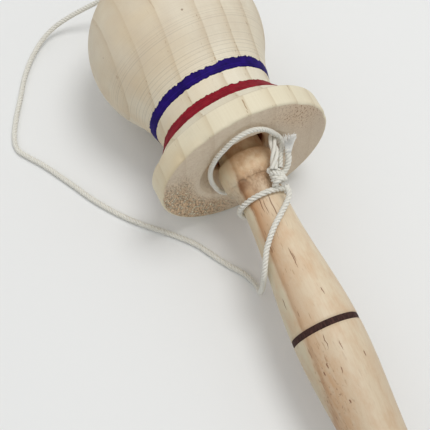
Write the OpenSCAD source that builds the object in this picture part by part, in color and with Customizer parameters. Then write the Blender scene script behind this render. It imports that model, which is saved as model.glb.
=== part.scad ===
// Cup and ball toy in turned wood: a ball with a flanged, socketed foot, a stick whose peg
// stands loosely in the socket, and one cotton cord that ties the two together.
// The toy lies on its ball and flange. X runs along the ball's axis towards the handle,
// Z is up, and the origin is under the middle of the toy on the surface it lies on.

/* [Ball] */
// Diameter of the round ball
ball_d = 62; // [50:0.5:74]
// Distance from the flange's face back to the ball's centre
ball_back = 52; // [48:0.5:60]
// Diameter of the waist between ball and flange
waist_d = 41.6; // [36:0.2:44]
// Radius of the hollow curve that runs from the ball down to the waist
cove_r = 40; // [28:1:50]
// Radius of the hollow corner between the waist and the flare
waist_fillet_r = 8; // [4:0.5:12]

/* [Flange] */
// Diameter of the flange
flange_d = 62; // [58:0.5:74]
// Thickness of the flange at its rim
flange_t = 7.6; // [5:0.2:10]
// Diameter of the flare where it meets the back of the flange
flare_d = 56.8; // [52:0.2:57]
// Slope of the flare away from the ball's axis
flare_angle = 36; // [30:1:42]
// Width of the eased edges of the flange
flange_ease = 0.6; // [0.2:0.1:1.2]

/* [Socket] */
// Diameter of the socket that takes the peg
socket_d = 20; // [19.8:0.1:24]
// Depth of the straight part of the socket, from the flange's face
socket_depth = 60; // [56:0.5:62]
// Length of the pointed bottom of the socket
socket_point = 5; // [3:0.5:7]
// Diameter of the hollowed mouth in the flange's face
dish_d = 34; // [30:0.5:42]
// Depth of the hollowed mouth
dish_depth = 5.4; // [4.5:0.1:7]
// Diameter of the hole through the top of the ball for the cord
cord_hole_d = 3.4; // [3.2:0.1:5]

/* [Paint bands] */
// Distance from the flange's face to the far edge of the blue band
blue_at = 27.4; // [24:0.1:30]
// Width of the blue band along the axis
blue_w = 3.4; // [2:0.1:5]
// Distance from the flange's face to the far edge of the red band
red_at = 18.1; // [17:0.1:19]
// Width of the red band along the axis
red_w = 5.1; // [3:0.1:7]
// Thickness of the paint
paint_t = 0.15; // [0.08:0.01:0.3]

/* [Stick] */
// Length of the peg inside the flange's face
peg_length = 50; // [40:0.5:52]
// Space between the peg and the socket where the leaning peg bears on it
peg_clear = 0.3; // [0.2:0.05:1]
// Length of the bevel round the peg's tip
peg_tip_bevel = 1.5; // [0.5:0.1:3]
// Diameter of the bead that stops at the mouth
bead_d = 20.6; // [17:0.2:21.4]
// Distance of the bead's widest place outside the flange's face
bead_at = 2; // [1:0.2:4]
// Length of the bead's round shoulder on the peg's side
bead_shoulder = 4.2; // [3:0.1:5]
// Distance outside the flange's face where the bead turns into the hollow of the neck
bead_end = 7.5; // [6:0.1:8]
// How far the bead has drawn in by there
bead_fall = 1; // [0.5:0.1:1.2]
// Diameter of the neck that the cord is tied round
neck_d = 15; // [11:0.2:17]
// Distance of the neck outside the flange's face
neck_at = 15; // [13:0.5:18]
// Largest diameter of the grip
grip_d = 22.8; // [18:0.2:28]
// Distance of the grip's widest place outside the flange's face
grip_at = 66; // [58:1:80]
// Diameter of the round end of the grip
butt_d = 18; // [14:0.2:22]
// Distance from the flange's face to the end of the grip
stick_reach = 120; // [105:1:140]

/* [Burnt line] */
// Distance from the flange's face to the middle of the burnt line
burn_at = 61.5; // [45:0.5:65]
// Width of the burnt line
burn_w = 2; // [1:0.1:3]
// Depth of the burnt line's groove
burn_depth = 0.4; // [0.2:0.05:0.8]

/* [Lean of the stick in its socket] */
// Angle by which the grip droops
lean_down = 3.4; // [2:0.1:4]
// Angle by which the grip leans sideways
lean_side = -3.8; // [-4.2:0.1:-3]
// Sideways place of the stick's axis at the flange's face
seat_y = 0.4; // [0:0.1:0.8]
// Height of the stick's axis at the flange's face, from the ball's axis
seat_z = -1.75; // [-2.2:0.05:-1.2]

/* [Cord] */
// Diameter of the cotton cord
cord_d = 2; // [1.6:0.1:2.4]
// Distance of the tie round the neck outside the flange's face
tie_at = 14.7; // [13.5:0.1:16]
// Distance of the knot's middle outside the flange's face
knot_at = 11.3; // [11:0.1:12]
// Turn of the knot round the stick, from straight up
knot_turn = 27; // [22:1:32]
// Spacing of the turns in a knot
knot_pitch = 2.2; // [1.8:0.1:2.4]
// Space between the cord and the wood that it lies on
cord_clear = 0.3; // [0.2:0.05:0.4]

/* [Hidden] */
$fn = 96;

// Space between a coat or mark and the wood under it, and the overshoot of a cut
coat_gap = 0.02;
mark_gap = 0.04;
over = 1;

ball_r = ball_d / 2;
flange_r = flange_d / 2;
socket_r = socket_d / 2;
cord_r = cord_d / 2;
bead_r = bead_d / 2;
neck_r = neck_d / 2;
grip_r = grip_d / 2;
butt_r = butt_d / 2;

// Angle by which the toy's axis rises towards the flange as it lies: none where ball and flange are alike
flange_mid = ball_back - flange_t / 2;
lie_angle = acos(ball_r / norm([flange_r, flange_mid])) - atan2(flange_mid, flange_r);

// The outline of the ball is drawn as [radius, distance along the axis], with the flange's face at 0
ball_c = [0, -ball_back];
cove_c = [waist_d / 2 + cove_r,
          -ball_back + sqrt(pow(ball_r + cove_r, 2) - pow(waist_d / 2 + cove_r, 2))];
ball_meets_cove = ball_c + ball_r * unit(cove_c - ball_c);
flare_end = [flare_d / 2, -flange_t];
flare_run = [sin(flare_angle), cos(flare_angle)];
flare_out = [cos(flare_angle), -sin(flare_angle)];
// The fillet touches the flare from outside and the cove from inside
fillet_start = flare_end + waist_fillet_r * flare_out - cove_c;
fillet_back = fillet_start * flare_run + sqrt(pow(fillet_start * flare_run, 2)
    - fillet_start * fillet_start + pow(cove_r - waist_fillet_r, 2));
fillet_c = flare_end + waist_fillet_r * flare_out - fillet_back * flare_run;
cove_meets_fillet = cove_c + cove_r * unit(fillet_c - cove_c);
fillet_meets_flare = fillet_c - waist_fillet_r * flare_out;

// The leaning peg bears on the lip of the socket and on its far wall at the tip
stick_way = [cos(lean_down) * cos(lean_side), cos(lean_down) * sin(lean_side), -sin(lean_down)];
peg_r = socket_r - seat_offset(-dish_depth) - peg_clear;
peg_tip_r = socket_r - seat_offset(-peg_length) - peg_clear;

// Ends of the toy along X, from which the origin is found
ball_end = -ball_back - sqrt(pow(ball_r, 2) - pow(cord_hole_d / 2, 2));
stick_end = (stick_reach - butt_r) * stick_way.x + butt_r;
face_x = -(ball_end + stick_end) / 2;

// The knot rests in the hollow from bead to neck, so its place follows the stick's own outline there
knot_wrap_r = 0.8 * cord_d;
knot_lean = 14;
knot_half = knot_pitch + knot_wrap_r * sin(knot_lean) + cord_r;
knot_foot = knot_at - knot_pitch - (knot_wrap_r + cord_r) * sin(knot_lean);
knot_out = hollow(knot_foot) + cord_clear + knot_wrap_r + cord_r;

// The stopper knot lies in the socket's pointed bottom, where that is just wide enough for it
stopper_rise = (knot_wrap_r + cord_r + cord_clear - cord_hole_d / 2) * socket_point
    / (socket_r - cord_hole_d / 2);
stopper_at = -socket_depth - socket_point + stopper_rise + knot_half;

// Stations of each round stretch, enough for a smooth curve
bead_steps = 8;
neck_steps = 10;
grip_steps = 26;
taper_steps = 14;
butt_steps = 10;

// Second loop, slack, that stands round the bead in the mouth, with both its ends in the knot.
// Routes on the toy are measured from the flange's face and from the ball's axis.
mouth_route = [
    [10.6, 6.8, 9.2], [7.5, 8.6, 10], [5, 10.3, 10.2], [3.3, 11.2, 10.8], [2.2, 10.7, 12.7],
    [1.8, 8.9, 15.7], [1.6, 6.7, 19], [1.6, 4.2, 21.7], [1.6, 1.5, 23.4], [1.6, -1.2, 23.9],
    [1.6, -3.8, 23.3], [1.6, -6.4, 21.8], [1.6, -8.7, 19.3], [1.6, -10.9, 16.8], [1.6, -12.5, 13.7],
    [1.6, -13.6, 10.1], [1.6, -13.9, 5.7], [1.6, -13.3, 0.5], [1.6, -11.6, -5.4], [1.6, -9.4, -10.2],
    [1.5, -5.2, -14], [1.4, 0.3, -15.2], [1.3, 5.4, -14], [1.1, 9.7, -10.5], [0.7, 12.2, -5],
    [0.2, 12.8, 0.5], [-0.2, 12, 5.5], [-0.2, 10.5, 9.2], [0.6, 9, 11.6], [2.6, 8.1, 12.2],
    [5.2, 7.4, 12.2], [7.8, 6.1, 11.6], [10.6, 4.2, 10.2]];

// Loose end beyond the knot, and how far it swells into its frayed tuft at each point
tail_route = [[12.2, 6.6, 6.9], [11.6, 8, 7.2], [10.8, 9.4, 8.4], [9.6, 10.3, 10.2], [8.4, 10.7, 11.6],
              [7.1, 11.1, 13], [5.8, 11.8, 14.5], [4.9, 12.9, 15.8]];
tail_swell = [1, 1, 1, 1, 1.1, 1.4, 1.7, 2];

// Free run of the cord: from the knot over the grip, down to the surface and along it, then up to
// the top of the ball and in. Its ends go with the toy, and its middle is measured up from the surface
// to the cord's underside.
over_grip = [
    [16.8, 5.6, 8.2], [18.6, 5.6, 7.8], [20.6, 4.6, 7.4], [22.4, 2.4, 7.1], [24.4, -0.4, 6.7],
    [27.5, -4.6, 5.9], [31.6, -8.9, 3.9], [35.2, -11.4, 1.4], [37.8, -13, -3], [38.2, -13.4, -9.5]];
on_surface = [
    [37, -13, 13], [35, -12, 6], [32, -11, 1.8], [28, -11.2, 0.4], [24, -12.8, 0.15], [19, -16, 0.15],
    [13, -19.2, 0.15], [7, -22.4, 0.15], [1, -27.2, 0.15], [-4, -31.8, 0.15], [-13, -39.6, 0.15],
    [-24, -46.8, 0.15], [-35, -52.2, 0.15], [-46, -57.8, 0.15], [-52, -61.6, 0.15], [-56.8, -64, 0.15],
    [-62.4, -63, 0.15], [-69.4, -59.4, 0.15], [-76.6, -54.8, 0.15], [-85, -49.4, 0.35], [-91, -44, 0.95],
    [-95.6, -37.8, 2.2], [-97.8, -31.6, 4.1], [-97.6, -24.8, 7.1]];
up_to_ball = [
    [-96, -18.6, -19.4], [-94, -12.4, -15.4], [-92.6, -7, -10], [-91, -2.8, -4.6], [-88.6, -0.6, -1.2],
    [-85.4, 0, 0], [-75, 0, 0], [-62.5, 0, 0]];
run_route = concat([for (p = over_grip) lying_point(p)], [for (p = on_surface) p + [face_x, 0, cord_r]],
                   [for (p = up_to_ball) lying_point(p)]);

function unit(v) = v / norm(v);

// Place of a point that goes with the toy as it lies, as the module lying has it
function lying_point(p) = [
    face_x - ball_back + (p.x + ball_back) * cos(lie_angle) - p.z * sin(lie_angle),
    p.y,
    ball_r + (p.x + ball_back) * sin(lie_angle) + p.z * cos(lie_angle)];

// Distance of the stick's axis from the ball's axis, at a place along the stick
function seat_offset(s) = norm([seat_y + s * stick_way.y, seat_z + s * stick_way.z]);

// Smooth rise or fall from a to b as t goes from 0 to 1, level at both ends
function ease(a, b, t) = a + (b - a) * (1 - cos(180 * t)) / 2;

// Outline points of a smooth stretch of the stick, without its last point
function stretch(s0, r0, s1, r1, steps) =
    [for (i = [0:steps - 1]) [ease(r0, r1, i / steps), s0 + (s1 - s0) * i / steps]];

// Radius of the stick in the hollow between bead and neck, and between neck and grip
function hollow(s) = neck_r + (bead_r - bead_fall - neck_r)
    * (1 - sqrt(1 - pow((neck_at - s) / (neck_at - bead_end), 2)));
function neck_to_grip(s) = ease(neck_r, grip_r, (s - neck_at) / (grip_at - neck_at));

// Point between b and c on the smooth curve through a, b, c and d
function curve_point(a, b, c, d, t) =
    0.5 * (2 * b + (c - a) * t + (2 * a - 5 * b + 4 * c - d) * t * t
           + (3 * b - a - 3 * c + d) * t * t * t);

// Route with one point added between each two of its own
function smooth_route(p) = let (last = len(p) - 1) concat(
    [for (i = [0:last - 1]) for (t = [0, 0.5])
        curve_point(p[max(i - 1, 0)], p[i], p[i + 1], p[min(i + 2, last)], t)],
    [p[last]]);

function route_ways(p) = let (last = len(p) - 1)
    [for (i = [0:last]) unit(p[min(i + 1, last)] - p[max(i - 1, 0)])];

// Part of v that is square to the way w
function squared(v, w) = unit(v - (v * w) * w);

// Side directions carried along the route without twist
function route_sides(ways, first) =
    [for (i = 0, side = squared(first, ways[0]); i < len(ways);
          i = i + 1, side = i < len(ways) ? squared(side, ways[i]) : side) side];

// Cord along a route, with a swelling factor for each route point
module cord(route, swell, first_side = [0.3, 0.4, 1], sides = 8) {
    points = smooth_route(route);
    widths = smooth_route(swell);
    ways = route_ways(points);
    across = route_sides(ways, first_side);
    last = len(points) - 1;
    rings = [for (i = [0:last]) for (k = [0:sides - 1])
        points[i] + widths[i] * cord_r * (cos(360 * k / sides) * across[i]
            + sin(360 * k / sides) * cross(ways[i], across[i]))];
    walls = [for (i = [0:last - 1]) for (k = [0:sides - 1]) let (
        a = i * sides + k, b = i * sides + (k + 1) % sides, c = b + sides, d = a + sides)
        each [[a, d, c], [a, c, b]]];
    caps = [for (k = [1:sides - 2]) each [[0, k, k + 1],
        [last * sides, last * sides + k + 1, last * sides + k]]];
    polyhedron(points = rings, faces = concat(walls, caps), convexity = 8);
}

// Places what is drawn along X from the flange's face, with the ball's axis at Z = 0, as the toy lies
module lying() {
    translate([face_x - ball_back, 0, ball_r]) rotate([0, -lie_angle, 0])
        translate([ball_back, 0, 0]) children();
}

// Places what is drawn round Z, with the flange's face at 0, on the ball's axis
module on_ball() {
    lying() rotate([0, 90, 0]) children();
}

// Places what is drawn round Z on the axis of the leaning stick
module on_stick() {
    lying() translate([0, seat_y, seat_z]) rotate([0, 90 + lean_down, lean_side]) children();
}

module ball_outline() {
    intersection() {
        translate(ball_c) circle(ball_r);
        translate([0, -ball_back - ball_d]) square(2 * ball_d);
    }
    difference() {
        polygon([ball_c, ball_meets_cove, cove_meets_fillet, [0, cove_meets_fillet.y]]);
        translate(cove_c) circle(cove_r);
    }
    difference() {
        polygon([[0, cove_meets_fillet.y], cove_meets_fillet, fillet_meets_flare,
                 [0, fillet_meets_flare.y]]);
        translate(fillet_c) circle(waist_fillet_r);
    }
    polygon([[0, fillet_meets_flare.y], fillet_meets_flare, flare_end, [0, -flange_t]]);
    polygon([[0, -flange_t], [flange_r - flange_ease, -flange_t], [flange_r, -flange_t + flange_ease],
             [flange_r, -flange_ease], [flange_r - flange_ease, 0], [0, 0]]);
}

// Hollow of the ball: dished mouth, socket with a pointed bottom, and the cord's hole
module socket_outline() {
    mouth_slope = (dish_d / 2 - socket_r) / dish_depth;
    polygon([[0, over], [dish_d / 2 + over * mouth_slope, over], [socket_r, -dish_depth],
             [socket_r, -socket_depth], [cord_hole_d / 2, -socket_depth - socket_point],
             [cord_hole_d / 2, ball_end - over], [0, ball_end - over]]);
}

module ball() {
    color("Wheat") on_ball() difference() {
        rotate_extrude() ball_outline();
        rotate_extrude() socket_outline();
    }
}

// Coat of paint on the ball's outline, lifted along a direction, from one place to another
module coat(far_edge, width, lift) {
    rotate_extrude() intersection() {
        translate([0, -far_edge]) square([flange_d, width]);
        difference() {
            translate(paint_t * lift) ball_outline();
            translate(coat_gap * lift) ball_outline();
        }
    }
}

module blue_band() {
    color("MidnightBlue") on_ball() coat(blue_at, blue_w, [1, 0]);
}

module red_band() {
    color("FireBrick") on_ball() coat(red_at, red_w, flare_out);
}

module stick_outline() {
    polygon(concat(
        [[0, -peg_length], [peg_tip_r - peg_tip_bevel, -peg_length],
         [peg_tip_r, -peg_length + peg_tip_bevel]],
        [for (i = [0:bead_steps - 1]) let (a = 90 * i / bead_steps)
            [peg_r + (bead_r - peg_r) * sin(a), bead_at - bead_shoulder * cos(a)]],
        [for (i = [0:bead_steps - 1]) let (a = 90 * i / bead_steps)
            [bead_r - bead_fall * (1 - cos(a)), bead_at + (bead_end - bead_at) * sin(a)]],
        [for (i = [0:neck_steps - 1]) let (a = 90 * i / neck_steps)
            [neck_r + (bead_r - bead_fall - neck_r) * (1 - sin(a)),
             bead_end + (neck_at - bead_end) * (1 - cos(a))]],
        stretch(neck_at, neck_r, grip_at, grip_r, grip_steps),
        stretch(grip_at, grip_r, stick_reach - butt_r, butt_r, taper_steps),
        [for (i = [0:butt_steps]) let (a = 90 * i / butt_steps)
            [butt_r * cos(a), stick_reach - butt_r + butt_r * sin(a)]]));
}

module stick() {
    color("BurlyWood") on_stick() difference() {
        rotate_extrude() stick_outline();
        rotate_extrude() translate([neck_to_grip(burn_at) - burn_depth, burn_at - burn_w / 2])
            square([burn_depth + over, burn_w]);
    }
}

module burnt_line() {
    color("#2b1d1a") on_stick() rotate_extrude()
        translate([neck_to_grip(burn_at) - burn_depth + mark_gap, burn_at - burn_w / 2 + mark_gap])
            square([burn_depth - 2 * mark_gap, burn_w - 2 * mark_gap]);
}

// One round turn of cord about Z
module turn_of_cord(turn_r) {
    rotate_extrude() translate([turn_r, 0]) circle(cord_r);
}

// Tight knot along Z: snug turns that lean one against the next, round a core of cord
module knot() {
    for (i = [-1:1])
        translate([0, 0, i * knot_pitch]) rotate([i == 0 ? knot_lean : -knot_lean, 0, 0])
            turn_of_cord(knot_wrap_r);
    cylinder(h = 2 * knot_pitch, r = cord_r, center = true);
}

module neck_tie() {
    color("Ivory") on_stick() translate([0, 0, tie_at])
        turn_of_cord((tie_at < neck_at ? hollow(tie_at) : neck_to_grip(tie_at)) + cord_clear + cord_r);
}

module neck_knot() {
    color("Ivory") on_stick() rotate([0, 0, 180 - knot_turn]) translate([knot_out, 0, knot_at]) knot();
}

module mouth_loop() {
    color("Ivory") lying() cord(mouth_route, [for (p = mouth_route) 1]);
}

module loose_tail() {
    color("Ivory") lying() cord(tail_route, tail_swell);
}

module cord_run() {
    color("Ivory") cord(run_route, [for (p = run_route) 1]);
}

module stopper_knot() {
    color("Ivory") on_ball() translate([0, 0, stopper_at]) knot();
}

ball();
blue_band();
red_band();
stick();
burnt_line();
neck_tie();
neck_knot();
mouth_loop();
loose_tail();
cord_run();
stopper_knot();
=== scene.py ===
"""Looks of a turned wooden cup and ball toy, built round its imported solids.

The classes hold their sizes in millimetres, and every mesh is made in metres in the toy's own frame:
X along the ball's axis towards the handle, Z up, and the surface that the toy lies on at Z = 0.
"""

from __future__ import annotations

import logging
import math
from collections.abc import Sequence
from dataclasses import dataclass, field
from enum import Enum, IntEnum
from functools import reduce
from itertools import product

import bpy
import numpy as np
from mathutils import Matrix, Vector

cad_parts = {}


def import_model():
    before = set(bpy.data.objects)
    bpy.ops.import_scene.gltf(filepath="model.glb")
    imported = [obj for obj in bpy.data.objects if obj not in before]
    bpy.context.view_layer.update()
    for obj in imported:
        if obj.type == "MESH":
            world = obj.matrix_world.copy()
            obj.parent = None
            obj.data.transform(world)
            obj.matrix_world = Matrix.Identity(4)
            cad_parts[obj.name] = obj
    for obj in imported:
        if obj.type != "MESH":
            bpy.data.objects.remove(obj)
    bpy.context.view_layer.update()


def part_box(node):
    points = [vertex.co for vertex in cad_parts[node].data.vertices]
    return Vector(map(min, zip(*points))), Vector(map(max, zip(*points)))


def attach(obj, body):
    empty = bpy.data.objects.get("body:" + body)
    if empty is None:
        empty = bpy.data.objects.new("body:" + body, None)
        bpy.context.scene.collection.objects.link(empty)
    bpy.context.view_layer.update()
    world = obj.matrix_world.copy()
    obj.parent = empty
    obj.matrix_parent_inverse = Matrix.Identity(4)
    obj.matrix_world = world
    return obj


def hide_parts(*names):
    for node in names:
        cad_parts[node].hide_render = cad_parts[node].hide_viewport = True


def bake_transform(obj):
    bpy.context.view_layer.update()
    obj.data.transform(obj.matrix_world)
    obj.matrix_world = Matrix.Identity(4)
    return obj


LOG = logging.getLogger("cup_and_ball")
MM = 0.001
FULL_TURN = 2 * math.pi
QUARTER_TURN = math.pi / 2
LATTICE_SIZE = 4096
LATTICE_MIX = np.array([73856093, 19349663, 83492791])
PATH_PIECES = 24

Array = np.ndarray
Colour = tuple[float, float, float, float]
Triple = tuple[float, float, float]
Route = tuple[Triple, ...]
Stops = Sequence[tuple[float, float]]
Node = bpy.types.Node
Socket = bpy.types.NodeSocket
Sockets = bpy.types.bpy_prop_collection
Tree = bpy.types.NodeTree
Material = bpy.types.Material
Piece = bpy.types.Object


class Lay(Enum):
    """Way in which the strands of a cord wind as they go along it."""

    RIGHT = 1.0
    LEFT = -1.0


class Edge(Enum):
    """The two edges of a paint band, by the side that they face."""

    BALL = 0
    FLANGE = 1


class Seed(IntEnum):
    """Numbers that pick the random values of each uneven feature."""

    BALL_LUMPS = 3
    CRUMBS = 5
    FINE_CRUMBS = 6
    SAW_WAVES = 7
    RIM_CREASE = 8
    STICK_LUMPS = 21
    NECK_PATCHES = 22
    NECK_PITS = 23
    BEAD_EDGE = 24
    FINE_BEAD_EDGE = 25
    CHAR_FLAKES = 31
    FRAYED_END = 41
    BLUE_BAND = 51
    RED_BAND = 61


def linear(red: int, green: int, blue: int) -> Colour:
    """Colour written as screen values from 0 to 255, turned into the linear values that shaders take.

    Args:
        red: Red on the screen.
        green: Green on the screen.
        blue: Blue on the screen.

    Returns:
        The linear colour, opaque, by the standard screen curve.
    """
    screen = np.array([red, green, blue]) / 255
    low = screen / 12.92
    high = ((screen + 0.055) / 1.055) ** 2.4
    return (*np.where(screen <= 0.04045, low, high).tolist(), 1.0)


def unit(vectors: Array) -> Array:
    """Vectors of length 1 along the last axis of an array."""
    return vectors / np.linalg.norm(vectors, axis=-1, keepdims=True)


def bell(off: Array, half: float, power: int = 2) -> Array:
    """Bell curve: 1 in the middle and 0.37 at half its width; a higher power flattens its top."""
    return np.exp(-((off / half) ** power))


def lattice_noise(points: Array, seed: int) -> Array:
    """Smooth noise from -1 to 1: random numbers on whole-number places, eased from one to the next.

    Args:
        points: Places as an array whose last axis is x, y, z, in lattice steps.
        seed: Number that picks the random values.

    Returns:
        One value for each place.
    """
    values = np.random.default_rng(int(seed)).uniform(-1, 1, LATTICE_SIZE)
    corner = np.floor(points).astype(np.int64)
    share = points - corner
    share = share * share * (3 - 2 * share)
    total = np.zeros(points.shape[:-1])
    for step in product((0, 1), repeat=3):
        at = (corner + np.array(step)) * LATTICE_MIX
        weight = np.where(np.array(step) == 1, share, 1 - share).prod(-1)
        total += weight * values[(at[..., 0] ^ at[..., 1] ^ at[..., 2]) & (LATTICE_SIZE - 1)]
    return total


def turns_round(columns: int) -> Array:
    """Turns of the columns round an axis in radians, as one row that starts straight down."""
    return np.linspace(-math.pi, math.pi, columns, endpoint=False)[None, :]


def spread(outline: Array, columns: int) -> tuple[Array, Array]:
    """Radius and distance along of an outline's points, each repeated for the columns round an axis."""
    return np.repeat(outline[:, :1], columns, axis=1), np.repeat(outline[:, 1:], columns, axis=1)


def drum(turn: Array, along: Array | float, wide: float) -> Array:
    """Places on a drum, for noise that closes round an axis.

    Args:
        turn: Turn about the axis in radians.
        along: Height on the drum in lattice steps.
        wide: Radius of the drum in lattice steps.

    Returns:
        The places, with x, y, z as the last axis.
    """
    return np.stack(np.broadcast_arrays(wide * np.cos(turn), wide * np.sin(turn), along), axis=-1)


def arc_lengths(path: Array) -> Array:
    """Distance of each station of a path from its start, along the path."""
    return np.concatenate([[0], np.cumsum(np.linalg.norm(np.diff(path, axis=0), axis=1))])


def smooth_path(points: Array, step: float) -> Array:
    """Curve through points, as Catmull-Rom pieces, with stations a step apart along its length.

    Args:
        points: Places that the curve goes through, one a row.
        step: Distance between the stations.

    Returns:
        The stations, one a row.
    """
    padded = np.vstack([2 * points[0] - points[1], points, 2 * points[-1] - points[-2]])
    a, b, c, d = (padded[i : len(padded) - 3 + i, None, :] for i in range(4))
    t = np.linspace(0, 1, PATH_PIECES, endpoint=False)[None, :, None]
    pieces = 2 * b + (c - a) * t + (2 * a - 5 * b + 4 * c - d) * t**2 + (3 * b - a - 3 * c + d) * t**3
    fine = np.vstack([0.5 * pieces.reshape(-1, 3), points[-1:]])
    length = arc_lengths(fine)
    at = np.linspace(0, length[-1], max(int(length[-1] / step), 4) + 1)
    return np.stack([np.interp(at, length, fine[:, k]) for k in range(3)], axis=1)


@dataclass
class Surface:
    """Points, faces and named values of a mesh in the making.

    Attributes:
        points: Places in metres, one a row.
        faces: Corner numbers of each face.
        values: Named numbers or vectors, one for each point, which materials read.
    """

    points: Array
    faces: list[list[int]]
    values: dict[str, Array] = field(default_factory=dict)

    @classmethod
    def grid(cls, points: Array, round_rows: bool = False, round_columns: bool = True) -> Surface:
        """Surface on a grid of points, with faces that look out when rows x columns turn right-handed.

        Args:
            points: Places by row and column.
            round_rows: Whether the last row joins the first.
            round_columns: Whether the last column joins the first.

        Returns:
            The surface, without caps.
        """
        rows, columns = points.shape[:2]
        i = np.arange(rows if round_rows else rows - 1)[:, None]
        j = np.arange(columns if round_columns else columns - 1)[None, :]
        after_i, after_j = (i + 1) % rows, (j + 1) % columns
        corners = [i * columns + j, i * columns + after_j, after_i * columns + after_j, after_i * columns + j]
        faces = np.stack([np.broadcast_to(c, (i.size, j.size)) for c in corners], axis=-1).reshape(-1, 4)
        return cls(points.reshape(-1, 3), faces.tolist())

    @classmethod
    def tube(cls, points: Array) -> Surface:
        """Surface on rings of points, closed by a flat cap at each end.

        Args:
            points: Places by ring and by column round it.

        Returns:
            The closed surface.
        """
        made = cls.grid(points)
        rows, columns = points.shape[:2]
        made.faces.append(list(range(columns - 1, -1, -1)))
        made.faces.append(list(range((rows - 1) * columns, rows * columns)))
        return made

    @classmethod
    def joined(cls, parts: Sequence[Surface]) -> Surface:
        """One surface that holds several.

        Args:
            parts: Surfaces to join.

        Returns:
            The joined surface, with the values that every part has.
        """
        starts = np.cumsum([0] + [len(p.points) for p in parts])
        faces = [[c + int(s) for c in f] for p, s in zip(parts, starts) for f in p.faces]
        names = set.intersection(*(set(p.values) for p in parts))
        values = {n: np.concatenate([p.values[n] for p in parts]) for n in sorted(names)}
        return cls(np.concatenate([p.points for p in parts]), faces, values)

    def turned_over(self) -> Surface:
        """The same surface with its faces looking the other way."""
        return Surface(self.points, [f[::-1] for f in self.faces], self.values)

    def make(self, name: str, material: Material) -> Piece:
        """Makes the Blender object, smooth, at the origin, with its values as attributes.

        Args:
            name: Name of the piece.
            material: Finish of the piece.

        Returns:
            The object, linked to the scene.
        """
        mesh = bpy.data.meshes.new(name)
        mesh.from_pydata(self.points.tolist(), [], self.faces)
        mesh.polygons.foreach_set("use_smooth", np.ones(len(mesh.polygons), dtype=bool))
        for key, value in self.values.items():
            kind, slot = ("FLOAT_VECTOR", "vector") if value.ndim == 2 else ("FLOAT", "value")
            attribute = mesh.attributes.new(key, kind, "POINT")
            attribute.data.foreach_set(slot, value.astype(np.float32).ravel())
        mesh.materials.append(material)
        mesh.update()
        piece = bpy.data.objects.new(name, mesh)
        bpy.context.scene.collection.objects.link(piece)
        return piece


@dataclass(frozen=True)
class TurnAxis:
    """Axis that a turned piece was made round, with the directions across it.

    Attributes:
        start: Point on the axis at the flange's face, in millimetres.
        way: Direction along the axis, towards the handle.
        side: Direction across, towards +Y.
        up: Direction across, upwards.
    """

    start: Array
    way: Array
    side: Array
    up: Array

    @classmethod
    def leaning(cls, start: Sequence[float], down: float = 0.0, sideways: float = 0.0) -> TurnAxis:
        """Axis from a point, along X or leaning from it.

        Args:
            start: Point on the axis at the flange's face, in millimetres.
            down: Angle in degrees by which it goes down.
            sideways: Angle in degrees by which it turns towards +Y.

        Returns:
            The axis.
        """
        p, q = math.radians(down), math.radians(sideways)
        way = np.array([math.cos(p) * math.cos(q), math.cos(p) * math.sin(q), -math.sin(p)])
        side = np.array([-math.sin(q), math.cos(q), 0])
        return cls(np.array(start, float), way, side, np.cross(way, side))

    def outward(self, turn: Array | float) -> Array:
        """Directions away from the axis at turns in radians, from up towards +Y."""
        return np.sin(turn)[..., None] * self.side + np.cos(turn)[..., None] * self.up

    def place(self, radius: Array | float, along: Array | float, turn: Array | float) -> Array:
        """Points in metres at a radius, a distance along the axis and a turn from straight up.

        Args:
            radius: Distance from the axis in millimetres.
            along: Distance along the axis from the flange's face in millimetres.
            turn: Turn about the axis in radians, from up towards +Y.

        Returns:
            The points, with x, y, z as the last axis.
        """
        radius, along, turn = np.broadcast_arrays(radius, along, turn)
        across = radius[..., None] * self.outward(turn)
        return (self.start + along[..., None] * self.way + across) * MM


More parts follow.
